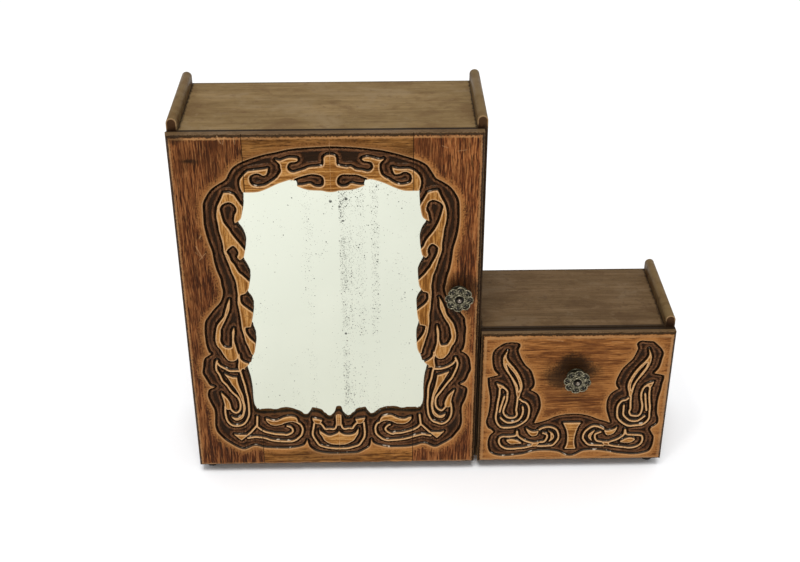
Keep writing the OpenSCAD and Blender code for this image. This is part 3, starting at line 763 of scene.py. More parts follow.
        xs = stops(self.x_range, [box[0] for box in self.levels])
        zs = stops(self.z_range, [box[1] for box in self.levels])
        level = [[self.level_at((x0 + x1) / 2, (z0 + z1) / 2) for x0, x1 in zip(xs, xs[1:])]
                 for z0, z1 in zip(zs, zs[1:])]
        for j, (z0, z1) in enumerate(zip(zs, zs[1:])):
            for i, (x0, x1) in enumerate(zip(xs, xs[1:])):
                y = level[j][i]
                right = level[j][i + 1] if i + 2 < len(xs) else y
                above = level[j + 1][i] if j + 2 < len(zs) else y
                if y != GLASS_Y:
                    self.add_quad((x0, z0, y), (x0, z1, y), (x1, z1, y), (x1, z0, y))
                if right != y:
                    self.add_quad((x1, z0, y), (x1, z1, y), (x1, z1, right), (x1, z0, right))
                if above != y:
                    self.add_quad((x0, z1, y), (x0, z1, above), (x1, z1, above), (x1, z1, y))

    def piece(self, name, materials):
        """The finished object, with the distances that the front's materials read."""
        parts = self.parts
        piece = new_object(name, parts.vertices, parts.faces, materials, parts.kinds,
                           [kind == FACE for kind in parts.kinds])
        to_mouth = FAR_FROM_MOUTH
        if self.opening is not None:
            to_mouth = np.linalg.norm(nearest_on(self.opening, self.face) - self.face, axis=1)
        fields = [(field, self.board.sample(field, *self.face.T), elsewhere) for field, elsewhere
                  in (("edge", -REACH), ("band", -REACH), ("rim", -REACH), ("mark", 0.0))]
        fields += [("seam", self.on_seam, 0.0), ("mouth", to_mouth, FAR_FROM_MOUTH)]
        for field, values, elsewhere in fields:
            whole = np.full(len(parts.vertices), elsewhere, np.float32)
            whole[:len(self.face)] = values
            store = piece.data.attributes.new(field, "FLOAT", "POINT")
            store.data.foreach_set("value", whole)
        return piece


def close_loop(path, corners):
    """The corners that lead from the path's end back to its start, the short way round."""
    def side_gap(p, k):
        return nearest_spot(*p, corners[k], corners[(k + 1) % 4])[1]

    side, last = (min(range(4), key=lambda k: side_gap(p, k)) for p in (path[-1], path[0]))
    loop = []
    while not loop or side != last:
        side = (side + 1) % 4
        loop.append(tuple(corners[side]))
    return loop


# ---- Materials -------------------------------------------------------------------------------


def rgb(r, g, b):
    """A screen colour, 0 to 255, as the linear colour that the shaders take."""
    def linear(v):
        v /= 255
        return v / 12.92 if v <= 0.04045 else ((v + 0.055) / 1.055) ** 2.4
    return (linear(r), linear(g), linear(b), 1.0)


class Shader:
    """A material and short ways to add and link its nodes."""

    def __init__(self, material):
        """Starts a material of this name, or goes on with one that is already there."""
        if isinstance(material, str):
            material = bpy.data.materials.new(material)
            material.use_nodes = True
        self.material = material
        self.tree = material.node_tree
        self.surface = self.tree.nodes["Principled BSDF"]
        self.coords = self.add("ShaderNodeTexCoord").outputs["Object"]

    def add(self, kind, **settings):
        node = self.tree.nodes.new(kind)
        for key, value in settings.items():
            setattr(node, key, value)
        return node

    def put(self, socket, value):
        if hasattr(value, "is_linked"):
            self.tree.links.new(value, socket)
        elif value is not None:
            socket.default_value = value

    def math(self, operation, a, b=None):
        node = self.add("ShaderNodeMath", operation=operation)
        for socket, value in zip(node.inputs, (a, b)):
            self.put(socket, value)
        return node.outputs[0]

    def plus(self, a, b):
        return self.math("ADD", a, b)

    def minus(self, a, b):
        return self.math("SUBTRACT", a, b)

    def times(self, a, b):
        return self.math("MULTIPLY", a, b)

    def most(self, a, b):
        return self.math("MAXIMUM", a, b)

    def length(self, a, b):
        """The distance to a point that lies a and b away, square to each other."""
        return self.math("SQRT", self.plus(self.times(a, a), self.times(b, b)))

    def span(self, value, low, high, to_low=0.0, to_high=1.0, smooth=True):
        """value's place between low and high, eased, as a number from to_low to to_high."""
        node = self.add("ShaderNodeMapRange")
        node.interpolation_type = "SMOOTHSTEP" if smooth else "LINEAR"
        for key, item in (("Value", value), ("From Min", low), ("From Max", high),
                          ("To Min", to_low), ("To Max", to_high)):
            self.put(node.inputs[key], item)
        return node.outputs["Result"]

    def waver(self, value, noise, amount, half=0.2):
        """value, pushed up and down by the noise where that is half away from its middle."""
        return self.plus(value, self.span(noise, 0.5 - half, 0.5 + half, -amount, amount))

    def attribute(self, name):
        return self.add("ShaderNodeAttribute", attribute_name=name).outputs["Fac"]

    def stretched(self, scale, shift=(0, 0, 0)):
        """Object coordinates in millimetres, times scale, so that features stretch."""
        node = self.add("ShaderNodeMapping", vector_type="POINT")
        self.put(node.inputs["Vector"], self.coords)
        node.inputs["Scale"].default_value = [s / MM for s in scale]
        node.inputs["Location"].default_value = shift
        return node.outputs["Vector"]

    def noise(self, vector, scale=1.0, detail=3.0, roughness=0.55, distortion=0.0):
        node = self.add("ShaderNodeTexNoise")
        self.put(node.inputs["Vector"], vector)
        for key, item in (("Scale", scale), ("Detail", detail), ("Roughness", roughness),
                          ("Distortion", distortion)):
            self.put(node.inputs[key], item)
        return node.outputs["Fac"]

    def even(self, scale, detail, roughness, shift=(0, 0, 0)):
        """Noise that is alike in every direction, its features about 1 / scale wide."""
        return self.noise(self.stretched((1, 1, 1), shift), scale, detail, roughness)

    def mix(self, factor, a, b):
        """Colour a, turning into colour b as factor goes from 0 to 1."""
        node = self.add("ShaderNodeMix", data_type="RGBA")
        for socket, value in ((0, factor), (6, a), (7, b)):
            self.put(node.inputs[socket], value)
        return node.outputs[2]

    def ramp(self, value, stops):
        """The colour at value, from stops of (value, colour)."""
        node = self.add("ShaderNodeValToRGB")
        elements = node.color_ramp.elements
        stops = list(stops)
        while len(elements) < len(stops):
            elements.new(0.5)
        for element, (spot, colour) in zip(elements, stops):
            element.position = spot
            element.color = colour
        self.put(node.inputs[0], value)
        return node.outputs["Color"]

    def axis(self, which):
        """One object coordinate in millimetres."""
        node = self.add("ShaderNodeSeparateXYZ")
        self.put(node.inputs[0], self.coords)
        return self.math("DIVIDE", node.outputs[which], MM)

    def wax(self):
        """A faint, warm shine."""
        self.surface.inputs["Specular IOR Level"].default_value = 0.11
        self.surface.inputs["Specular Tint"].default_value = WARM

    def base_colour(self):
        """What colours the surface so far."""
        return self.surface.inputs["Base Color"].links[0].from_socket

    def facing(self, which):
        """One part of the object's own normal."""
        node = self.add("ShaderNodeSeparateXYZ")
        self.put(node.inputs[0], self.add("ShaderNodeTexCoord").outputs["Normal"])
        return node.outputs[which]

    def layout(self, which):
        """One layout coordinate in millimetres."""
        return self.minus(self.axis(which), ORIGIN[which] / MM)

    def bump(self, height, distance, strength=1.0):
        node = self.add("ShaderNodeBump")
        node.inputs["Strength"].default_value = strength
        node.inputs["Distance"].default_value = distance * MM
        self.put(node.inputs["Height"], height)
        return node.outputs["Normal"]

    def finish(self, colour=None, roughness=None, normal=None, metallic=None):
        for key, value in (("Base Color", colour), ("Roughness", roughness),
                           ("Normal", normal), ("Metallic", metallic)):
            if value is not None:
                self.put(self.surface.inputs[key], value)
        return self.material


WARM = (1.0, 0.78, 0.55, 1.0)     # tint of waxed wood's shine


def drawn_out(along, times):
    """Scales for features that are this many times longer along one axis."""
    return [1 / times if axis == along else 1 for axis in "xyz"]


def grain(s, along, shift):
    """Wood grain along an axis: broad figure, fine streaks and dark pores, each 0 to 1."""
    move = (shift * 3.7, shift * 1.9, shift * 5.3)
    wide = s.stretched(drawn_out(along, 16), move)
    figure = s.noise(wide, 0.11, 4, 0.6, 0.9)
    streak = s.noise(wide, 0.75, 4, 0.65, 0.3)
    pore = s.noise(s.stretched(drawn_out(along, 11), move), 1.25, 2, 0.5)
    return figure, streak, pore


def shaded(tones, factor):
    """The same tones with the face's wood lighter or darker."""
    def scale(colour):
        return tuple(min(1.0, c * factor) for c in colour[:3]) + (1.0,)
    return dict(tones, face=[scale(c) for c in tones["face"]], pore=scale(tones["pore"]),
                blotch=scale(tones["blotch"]), halo=scale(tones["halo"]))


TONE_STOPS = (0.45, 0.482, 0.512, 0.55)     # where the grain's four tones lie


def wear_and_painted_edge_light(s, wood, tones, blotch, speck, on_land):
    """Rubbed tan wood beside the carving; light lines of rubbed wear and painted highlight along
    the land and round the opening; painted shade on the chamfer and a painted highlight with rubbed
    wear along the board's arris.
    """
    edge = s.attribute("edge")
    outside = s.times(edge, -1.0)
    fade = s.waver(outside, speck, 2.2, 0.15)
    halo = s.times(s.span(fade, 6.5, 0.6, 0.0, 0.8), s.minus(1.0, on_land))
    wood = s.mix(halo, wood, tones["halo"])
    # Light lines along the land's edges: rubbed wear and a painted highlight.
    line = s.times(s.span(outside, 1.25, 0.4), s.span(speck, 0.34, 0.5, 0.25, 1.0))
    line = s.times(line, s.span(s.attribute("band"), -0.6, 0.9, 0.35, 1.0))
    wood = s.mix(s.times(line, s.span(edge, 0.25, -0.05)), wood, tones["worn"])
    # A light line round the opening's mouth: rubbed wear and a painted highlight.
    lip = s.times(s.span(s.attribute("mouth"), 1.3, 0.5), s.span(edge, 0.3, -0.3))
    wood = s.mix(s.times(lip, 0.6), wood, tones["worn"])

    # Painted shade on the chamfer round the board.
    rim = s.waver(s.attribute("rim"), speck, 0.45)
    wood = s.mix(s.span(rim, 2.4, 1.7), wood, tones["chamfer"])
    # A painted highlight along the arris, which also stands for rubbed wear.
    reach = tones["arris_reach"]
    arris = s.times(s.span(rim, 1.9, 2.8), s.span(rim, reach + 1.4, reach))
    arris = s.times(arris, s.span(blotch, 0.35, 0.55, 0.55, 1.0))
    wood = s.mix(s.times(arris, 0.9), wood, tones["arris"])
    tip = s.times(s.span(rim, 0.7, 0.3), s.span(speck, 0.35, 0.6))
    wood = s.mix(s.times(tip, 0.3), wood, tones["worn"])
    return s.mix(s.times(s.attribute("mark"), 0.55), wood, tones["worn"])


def smudged(s, wood, smudges, colour, blotch, speck):
    """Dark handling marks, each (x, z, half its width, half its height, strength)."""
    for x, z, across, up, strength in smudges:
        dx = s.math("DIVIDE", s.minus(s.layout(0), x), across)
        dz = s.math("DIVIDE", s.minus(s.layout(2), z), up)
        far = s.waver(s.length(dx, dz), blotch, 0.25)
        far = s.waver(far, speck, 0.12, 0.15)
        wood = s.mix(s.span(far, 1.2, 0.4, 0.0, strength), wood, colour)
    return wood


def groove_floor(s, tones, streak, speck, shift):
    """Near black along the grooves' walls, dark glaze with painted shade, and a brown satin crest
    between them with a painted highlight and painted glints.
    """
    edge = s.attribute("edge")
    ripple = s.waver(edge, speck, 0.45, 0.15)
    crest = s.times(s.span(ripple, 1.9, 2.9), s.span(ripple, 5.4, 4.3, 0.12, 1.0))
    crest = s.times(crest, s.span(streak, 0.38, 0.58, 0.35, 1.0))
    floor = s.mix(crest, tones["groove"], tones["crest"])
    # A painted highlight: a light satin line along the crest.
    shine = s.times(s.span(ripple, 2.3, 2.9), s.span(ripple, 3.9, 3.2))
    shine = s.times(shine, s.span(streak, 0.46, 0.6, 0.1, 0.6))
    floor = s.mix(shine, floor, tones["shine"])
    # Painted glints on the up-facing walls near the groove's floor.
    glint = s.times(s.span(s.facing(2), 0.5, 0.8), s.span(edge, 0.1, 0.35))
    glint = s.times(glint, s.span(edge, 1.5, 1.0))
    spots_of_light = s.even(0.16, 2, 0.5, (0, 0, shift))
    glint = s.times(glint, s.span(spots_of_light, 0.59, 0.67, 0.06, 0.8))
    return s.mix(glint, floor, tones["glint"])


def front_wood(name, along, shift, tones, smudges, fine=0.42, pore_amount=0.8):
    """The carved fronts: stained face, rubbed tan land, edges with rubbed wear, painted shade and
    painted highlight, and dark satin grooves with painted shade and painted sheen.
    """
    s = Shader(name)
    figure, streak, pore = grain(s, along, shift)
    blotch = s.even(0.045, 3, 0.6, (shift, 0, shift))
    speck = s.even(0.55, 4, 0.65, (shift, 0, 0))
    hair = s.noise(s.stretched(drawn_out(along, 22), [shift] * 3), 0.9, 3, 0.75)
    tone = s.plus(s.times(s.plus(figure, streak), (1 - fine) / 2), s.times(hair, fine))
    pores = s.span(pore, 0.46, 0.35)
    face, land = (s.ramp(tone, zip(TONE_STOPS, tones[part])) for part in ("face", "land"))
    face = s.mix(s.times(pores, pore_amount), face, tones["pore"])
    face = s.mix(s.span(blotch, 0.48, 0.66, 0.0, 0.5), face, tones["blotch"])
    face = s.mix(s.span(hair, 0.57, 0.66, 0.0, fine * 0.5), face, tones["arris"])
    land = s.mix(s.times(pores, 0.4), land, tones["land_pore"])
    land = s.mix(s.span(speck, 0.5, 0.66, 0.0, 0.5), land, tones["land_pore"])
    on_land = s.span(s.attribute("band"), 0.2, 0.8)
    wood = wear_and_painted_edge_light(s, s.mix(on_land, face, land), tones, blotch, speck, on_land)
    wood = smudged(s, wood, smudges, tones["smudge"], blotch, speck)
    in_groove = s.span(s.attribute("edge"), 0.1, 0.5)
    colour = s.mix(in_groove, wood, groove_floor(s, tones, streak, speck, shift))
    seam = s.times(s.span(s.attribute("seam"), 0.1, 0.5), 0.8)
    colour = s.mix(seam, colour, tones["groove"])
    rough = s.plus(s.span(figure, 0.3, 0.7, 0.44, 0.58), s.times(pores, 0.12))
    rough = s.minus(rough, s.times(in_groove, 0.2))
    s.wax()
    relief = s.minus(s.times(streak, 0.6), s.times(pores, 0.5))
    relief = s.plus(relief, s.times(speck, 0.6))
    return s.finish(colour, rough, s.bump(relief, 0.25, 0.7))


def board_wood(name, along, shift, tones, roughness=(0.45, 0.62), pore_amount=0.6, bump=0.2):
    """Plain boards: grain with blotches and grime."""
    s = Shader(name)
    figure, streak, pore = grain(s, along, shift)
    blotch = s.noise(s.stretched((0.7, 1, 1), (shift, shift, 0)), 0.035, 4, 0.6, 0.6)
    speck = s.even(0.8, 3, 0.6)
    tone = s.plus(s.times(figure, 0.6), s.times(streak, 0.4))
    colour = s.ramp(tone, zip((0.34, 0.47, 0.56, 0.66), tones["grain"]))
    pores = s.span(pore, 0.40, 0.30)
    colour = s.mix(s.times(pores, pore_amount), colour, tones["pore"])
    colour = s.mix(s.span(blotch, 0.50, 0.68, 0.0, 0.55), colour, tones["dark"])
    colour = s.mix(s.span(blotch, 0.46, 0.32, 0.0, 0.5), colour, tones["light"])
    stain = s.even(0.13, 5, 0.7, (0, shift, shift))
    colour = s.mix(s.span(stain, 0.56, 0.66, 0.0, 0.5), colour, tones["dark"])
    colour = s.mix(s.span(stain, 0.42, 0.34, 0.0, 0.4), colour, tones["light"])
    wear = s.times(s.attribute("wear"), s.span(speck, 0.36, 0.55, 0.3, 0.9))
    colour = s.mix(wear, colour, tones["worn"])
    s.wax()
    rough = s.span(blotch, 0.3, 0.7, roughness[0], roughness[1])
    relief = s.minus(s.times(streak, 0.6), s.times(pores, 0.5))
    relief = s.plus(relief, s.times(speck, 0.3))
    return s.finish(colour, rough, s.bump(relief, bump, 0.6))


def paint_front_edge_shade(material):
    """Painted shade on a side board's front edge, where it lies back beside the door and drawer, a
    greyer tone along its top and rubbed wear on its eased top edges.
    """
    s = Shader(material)
    base = s.base_colour()
    height = s.layout(2)
    depth = s.layout(1)
    mottle = s.even(0.12, 3, 0.6)
    height = s.waver(height, mottle, 5)
    tall = s.span(height, CASE_TOP - 3, CASE_TOP + 7)
    on_box = s.math("GREATER_THAN", s.layout(0), CABINET_W + BOX_W / 2)
    short = s.times(s.span(height, BOX_TOP - 3, BOX_TOP + 7), on_box)
    top = s.most(tall, short)
    greyed = s.times(top, s.span(mottle, 0.35, 0.6, 0.55, 0.95))
    colour = s.mix(greyed, base, rgb(108, 88, 57))
    # Painted shade: the front edge darker, as it lies back in the gaps beside the door and drawer.
    front = s.span(depth, CASE_Y + 0.8, CASE_Y + 0.3)
    colour = s.mix(s.times(front, 0.9), colour, rgb(58, 34, 18))
    patchy = s.times(front, s.span(mottle, 0.3, 0.5, 0.4, 0.9))
    radius = PANEL_T / 2
    for node in SIDE_PANELS:
        panel_low, panel_high = node_box(node)
        across = s.minus(s.layout(0), (panel_low.x + panel_high.x) / 2)
        up = s.minus(s.layout(2), panel_high.z - radius)
        far = s.length(across, s.most(up, 0.0))
        ring = s.span(far, radius - 1.2, radius - 0.6)
        ring = s.times(ring, s.math("LESS_THAN", far, radius + 0.5))
        colour = s.mix(s.times(ring, patchy), colour, rgb(150, 120, 84))
    # Deeper painted shade on the front edge below the tops, in the gap between door and drawer.
    low = s.times(front, s.minus(1.0, top))
    colour = s.mix(s.times(low, 0.85), colour, rgb(30, 18, 10))
    rubbed = s.times(s.attribute("wear"), s.times(top, 0.8))
    colour = s.mix(rubbed, colour, rgb(172, 146, 108))
    s.finish(colour)


def paint_joint_shade(material):
    """Painted shade where the top boards meet the rails and along their front edges, in the gap
    behind the door and drawer, and a darker strip along their back edge.
    """
    s = Shader(material)
    base = s.base_colour()
    x = s.layout(0)
    y = s.layout(1)
    wave = s.even(0.25, 3, 0.6)
    amount = 0.0
    # Painted shade in the corners where the top boards meet the rails.
    for joint, reach in ((PANEL_T, 2.6), (CABINET_W - PANEL_T, 2.2), (CABINET_W, 3.5),
                         (TOTAL_W - PANEL_T, 3.2)):
        gap = s.math("ABSOLUTE", s.minus(x, joint))
        gap = s.waver(gap, wave, 0.8)
        amount = s.most(amount, s.span(gap, reach, 0.4, 0.0, 0.85))
    box = s.math("GREATER_THAN", x, CABINET_W)
    # Painted shadow along the front edges, in the gap behind the drawer and the door.
    over_drawer = s.times(s.span(y, CASE_Y + 3.2, CASE_Y + 2.6), box)
    over_door = s.times(s.span(y, CASE_Y + 1.4, CASE_Y + 0.9), s.minus(1, box))
    amount = s.most(amount, s.times(s.most(over_drawer, over_door), 0.85))
    rear = s.times(s.span(y, BACK_Y - 2.5, BACK_Y - 0.8), 0.5)
    s.finish(s.mix(s.most(amount, rear), base, rgb(26, 16, 8)))


def paint_shade_behind(material, depth, reach):
    """Painted shade on a front's edges, from a depth behind its face to its back, where they lie in
    the gaps round the front.
    """
    s = Shader(material)
    base = s.base_colour()
    y = s.layout(1)
    edge = s.span(s.math("ABSOLUTE", s.facing(1)), 0.6, 0.3)
    amount = s.times(s.span(y, depth, depth + reach, 0.0, 0.93), edge)
    s.finish(s.mix(amount, base, rgb(24, 14, 7)))


def light_lip(material, depth, reach):
    """The opening's wall, brown near the face and in painted shade from a depth behind it."""
    s = Shader(material)
    base = s.base_colour()
    y = s.layout(1)
    wave = s.even(0.3, 3, 0.6)
    y = s.waver(y, wave, 0.7)
    amount = s.span(y, depth, depth + reach, 0.85, 0.0)
    s.finish(s.mix(amount, base, rgb(88, 56, 32)))


def metal(name, base, high, roughness, metallic=1.0, bump=0.05):
    """Aged metal: darker in patches, rubbed bright in others."""
    s = Shader(name)
    patch = s.even(0.55, 4, 0.6)
    fine = s.even(3.0, 2, 0.5)
    colour = s.mix(s.span(patch, 0.42, 0.62), base, high)
    s.surface.inputs["Metallic"].default_value = metallic
    rough = s.span(patch, 0.3, 0.7, roughness + 0.12, roughness - 0.08)
    return s.finish(colour, rough, s.bump(fine, bump, 0.5))


def plain(name, base, roughness, spread=0.12, scale=0.4):
    """A material of one kind throughout, with faint mottling and a fine surface."""
    s = Shader(name)
    patch = s.even(scale, 4, 0.6)
    fine = s.even(2.2, 2, 0.5)
    low = tuple(c * (1 - spread) for c in base[:3]) + (1.0,)
    high = tuple(min(1.0, c * (1 + spread)) for c in base[:3]) + (1.0,)
    colour = s.mix(s.span(patch, 0.35, 0.65), low, high)
    s.surface.inputs["Roughness"].default_value = roughness
    return s.finish(colour, None, s.bump(fine, 0.05, 0.5))


DOOR_TONES = {
    "face": [rgb(44, 20, 9), rgb(79, 39, 17), rgb(104, 57, 27), rgb(136, 86, 47)],
    "pore": rgb(36, 17, 5),
    "blotch": rgb(76, 40, 17),
    "land": [rgb(112, 68, 24), rgb(140, 90, 36), rgb(162, 110, 50), rgb(184, 134, 76)],
    "land_pore": rgb(92, 52, 18),
    "halo": rgb(146, 97, 51),
    # Painted highlight along the arris, also standing for rubbed wear; the same tone lightens
    # streaks in the face's grain.
    "arris": rgb(160, 116, 72),
    "arris_reach": 3.0,
    # Rubbed wear, also used for the painted highlight along the land's edges and round the opening.
    "worn": rgb(200, 158, 112),
    # Painted shade on the chamfer round each board.
    "chamfer": rgb(44, 28, 12),
    "smudge": rgb(28, 15, 6),
    # Dark glaze with painted shade along the grooves' walls; also the fine line of the seams.
    "groove": rgb(24, 13, 6),
    "crest": rgb(86, 52, 29),
    # Painted highlights: a satin line along the crests and glints on the grooves' walls.
    "shine": rgb(136, 96, 64),
    "glint": rgb(206, 188, 166),
}
RAIL_TONES = dict(
    DOOR_TONES,
    face=[rgb(76, 43, 14), rgb(108, 67, 26), rgb(130, 85, 38), rgb(154, 106, 54)],
    pore=rgb(56, 30, 10),
    blotch=rgb(92, 56, 22),
)
DRAWER_TONES = dict(
    DOOR_TONES,
    face=[rgb(86, 46, 18), rgb(118, 71, 32), rgb(137, 86, 41), rgb(158, 105, 55)],
    pore=rgb(66, 34, 13),
    blotch=rgb(102, 59, 27),
    halo=rgb(158, 106, 56),
    arris_reach=4.2,
)
TOP_TONES = {
    "grain": [rgb(98, 76, 46), rgb(116, 94, 60), rgb(125, 102, 67), rgb(138, 114, 78)],
    "pore": rgb(86, 66, 40),
    "dark": rgb(96, 72, 47),
    "light": rgb(132, 111, 80),
    "worn": rgb(164, 138, 100),
}
BOX_TOP_TONES = {
    "grain": [rgb(78, 59, 37), rgb(94, 73, 48), rgb(102, 80, 55), rgb(114, 92, 66)],
    "pore": rgb(70, 52, 33),
    "dark": rgb(76, 56, 37),
    "light": rgb(108, 88, 64),
    "worn": rgb(146, 120, 88),
}
SIDE_TONES = {
    "grain": [rgb(60, 38, 18), rgb(84, 57, 30), rgb(98, 70, 39), rgb(120, 90, 54)],
    "pore": rgb(40, 24, 11),
    "dark": rgb(56, 37, 19),
    "light": rgb(110, 86, 54),
    "worn": rgb(160, 128, 88),
}
INNER_TONES = {
    "grain": [rgb(108, 76, 42), rgb(134, 100, 60), rgb(148, 114, 72), rgb(166, 132, 88)],
    "pore": rgb(86, 58, 30),
    "dark": rgb(112, 80, 46),
    "light": rgb(158, 126, 84),
    "worn": rgb(186, 154, 110),
}


GLARE_Z = 240     # height of the mirror's brighter left side


def mirror_material():
    """Old silvering: bright, with foxing specks that gather in upright bands."""
    s = Shader("foxed_mirror")
    u = s.minus(s.layout(0), OPENING_X)
    clouds = s.noise(s.stretched((1, 1, 0.35)), 0.05, 3, 0.6)
    density = s.span(clouds, 0.42, 0.72, 0.006, 0.09)
    for centre, width, strength in ((9, 4.5, 1.1), (15, 4, 0.5), (24, 7, 0.36), (37, 5, 0.4),
                                    (-22, 6, 0.14)):
        far = s.math("ABSOLUTE", s.minus(u, centre))
        density = s.plus(density, s.span(far, width, width * 0.2, 0.0, strength))
    fade = s.noise(s.stretched((0.5, 1, 1)), 0.03, 3, 0.6)
    density = s.times(density, s.span(fade, 0.36, 0.6, 0.15, 1.2))
    specks = 0.0
    for scale, share, shift in ((1.5, 1.1, 3), (0.75, 0.6, 7), (0.3, 0.16, 12)):
        cells = s.add("ShaderNodeTexVoronoi", feature="F1")
        s.put(cells.inputs["Vector"], s.stretched((1, 0.0, 1), (shift, 0, shift)))
        cells.inputs["Scale"].default_value = scale
        split = s.add("ShaderNodeSeparateColor")
        s.put(split.inputs[0], cells.outputs["Color"])
        wanted = s.math("LESS_THAN", split.outputs[0], s.times(density, share))
        radius = s.span(split.outputs[1], 0, 1, 0.18, 0.42, smooth=False)
        spot = s.span(s.minus(cells.outputs["Distance"], radius), 0.06, -0.06)
        specks = s.most(specks, s.times(wanted, spot))
    specks = s.times(specks, 0.85)
    tint = s.even(0.012, 2, 0.5)
    colour = s.mix(s.span(tint, 0.35, 0.65), rgb(230, 232, 216), rgb(222, 225, 209))
    # Painted shade: the silvering darker towards the bottom and the right, a painted fall-off of
    # the light it reflects.
    below = s.minus(GLARE_Z, s.layout(2))
    slope = s.plus(s.times(u, 0.55), s.times(below, 0.5))
    colour = s.mix(s.span(slope, -70, 60, 0.0, 0.75), colour, rgb(206, 209, 193))
    colour = s.mix(specks, colour, rgb(34, 36, 32))
    metallic = s.minus(1.0, s.times(specks, 0.8))
    rough = s.plus(s.times(specks, 0.5), 0.05)
    return s.finish(colour, rough, None, metallic)


def velvet_material():
    s = Shader("velvet")
    nap = s.even(0.12, 4, 0.6)
    fibre = s.even(4.5, 2, 0.6)
    colour = s.mix(s.span(nap, 0.35, 0.65), rgb(72, 12, 20), rgb(98, 20, 30))
    colour = s.mix(s.span(fibre, 0.35, 0.7, 0.0, 0.5), colour, rgb(128, 36, 46))
    s.surface.inputs["Sheen Weight"].default_value = 0.7
    s.surface.inputs["Sheen Roughness"].default_value = 0.4
    s.surface.inputs["Roughness"].default_value = 0.9
    return s.finish(colour, None, s.bump(fibre, 0.12, 0.7))


DOOR_KNOB = sum(node_box("door_knob_stem"), Vector()) / 2
DRAWER_KNOB = sum(node_box("drawer_knob_stem"), Vector()) / 2

door_smudges = [
    (18, 328 + BASE_Z, 11, 3.0, 0.85),
    (DOOR_KNOB.x, DOOR_KNOB.z + 4, 19, 19, 0.75),
    (9, 348 + BASE_Z, 9, 5, 0.6),
    (255, 60, 16, 44, 0.12),
    (120, 22, 60, 9, 0.4),
]
drawer_smudges = [
    (DRAWER_KNOB.x - 1, DRAWER_KNOB.z + 11, 21, 19, 0.88),
    (DRAWER_KNOB.x - 13, DRAWER_KNOB.z - 3, 17, 13, 0.7),
    (DRAWER_KNOB.x - 2, DRAWER_KNOB.z, 30, 26, 0.35),
]
hinge_stile_wood = front_wood("hinge_stile_wood", "z", 1.0, DOOR_TONES, door_smudges)
knob_stile_wood = front_wood("knob_stile_wood", "z", 1.0, shaded(DOOR_TONES, 1.3), door_smudges)
top_rail_wood = front_wood("top_rail_wood", "x", 2.0, shaded(RAIL_TONES, 0.78), door_smudges)
low_rail_wood = front_wood("bottom_rail_wood", "x", 2.0, shaded(RAIL_TONES, 1.3), door_smudges)
drawer_wood = front_wood("drawer_front_wood", "x", 3.0, DRAWER_TONES, drawer_smudges,
                         fine=0.2, pore_amount=0.5)
# Painted shade: near-black wood for the opening's walls, which lie in shadow.
opening_wall_shade = board_wood("opening_wall_painted_shade", "y", 4.0, {
    "grain": [rgb(20, 13, 9), rgb(30, 21, 14), rgb(38, 27, 18), rgb(50, 36, 25)],
    "pore": rgb(14, 9, 6), "dark": rgb(20, 14, 10), "light": rgb(44, 32, 22),
    "worn": rgb(90, 70, 52)},
    roughness=(0.75, 0.9))
light_lip(opening_wall_shade, depth=4.0, reach=1.6)
edge_wood_z = board_wood("door_edge_wood", "z", 5.0, BOX_TOP_TONES)
edge_wood_x = board_wood("rail_edge_wood", "x", 6.0, BOX_TOP_TONES)
top_wood = board_wood("top_board_wood", "x", 7.0, TOP_TONES, roughness=(0.5, 0.7))
# Painted shade on the door's and drawer's edges, where they lie in the gaps.
for edge_wood in (edge_wood_z, edge_wood_x):
    paint_shade_behind(edge_wood, depth=8.6, reach=0.8)
drawer_edge_wood = board_wood("drawer_front_edge_wood", "x", 6.5, BOX_TOP_TONES)
paint_shade_behind(drawer_edge_wood, depth=6.4, reach=1.0)
paint_joint_shade(top_wood)
box_top_wood = board_wood("box_top_wood", "x", 7.5, BOX_TOP_TONES, roughness=(0.45, 0.65))
paint_joint_shade(box_top_wood)
side_wood = board_wood("side_board_wood", "z", 8.0, SIDE_TONES)
paint_front_edge_shade(side_wood)
inner_wood = board_wood("inner_wood", "x", 10.0, INNER_TONES)
ply_wood = board_wood("back_ply", "z", 12.0, INNER_TONES, roughness=(0.6, 0.8))
knob_metal = metal("antiqued_metal", rgb(38, 36, 26), rgb(70, 66, 51),
                   roughness=0.45, metallic=0.8, bump=0.06)
knob_wire = metal("knob_wire", rgb(86, 82, 64), rgb(154, 146, 122),
                  roughness=0.40, metallic=0.85)
knob_gap = metal("knob_gap", rgb(18, 13, 6), rgb(34, 27, 14), roughness=0.5, metallic=0.4)
knob_ball = metal("knob_ball", rgb(112, 102, 90), rgb(152, 142, 130),
                  roughness=0.28, metallic=0.95, bump=0.03)
brass = metal("aged_brass", rgb(98, 74, 38), rgb(168, 136, 80), roughness=0.38)
steel = metal("dull_steel", rgb(70, 68, 66), rgb(130, 128, 124), roughness=0.42)
foot_rubber = plain("foot_rubber", rgb(28, 26, 25), roughness=0.75)
card = plain("backing_card", rgb(92, 84, 70), roughness=0.85, spread=0.15, scale=0.2)
mirror_glass = mirror_material()
velvet = velvet_material()


def paint(material, *names):
    for name in names:
        slots = nodes[name].data.materials
        slots.clear()
        slots.append(material)


paint(inner_wood, "drawer_bottom")
paint(ply_wood, "cabinet_back", "drawer_box_back")
paint(steel, "cabinet_back_nails", "drawer_box_back_nails", "joining_screws", "hinge_pins",
      "door_strike_disc", "door_magnet", "door_knob_screw", "drawer_knob_screw")
paint(brass, "shelf_pins", "necklace_pegs", "upper_hinge_case_leaf", "lower_hinge_case_leaf",
      "case_hinge_screws", "upper_hinge_door_leaf", "lower_hinge_door_leaf",
      "door_hinge_screws", "mirror_clips", "mirror_clip_screws")
paint(mirror_glass, "mirror_glass")
paint(card, "mirror_backing")

# ---- The door's carved members ---------------------------------------------------------------

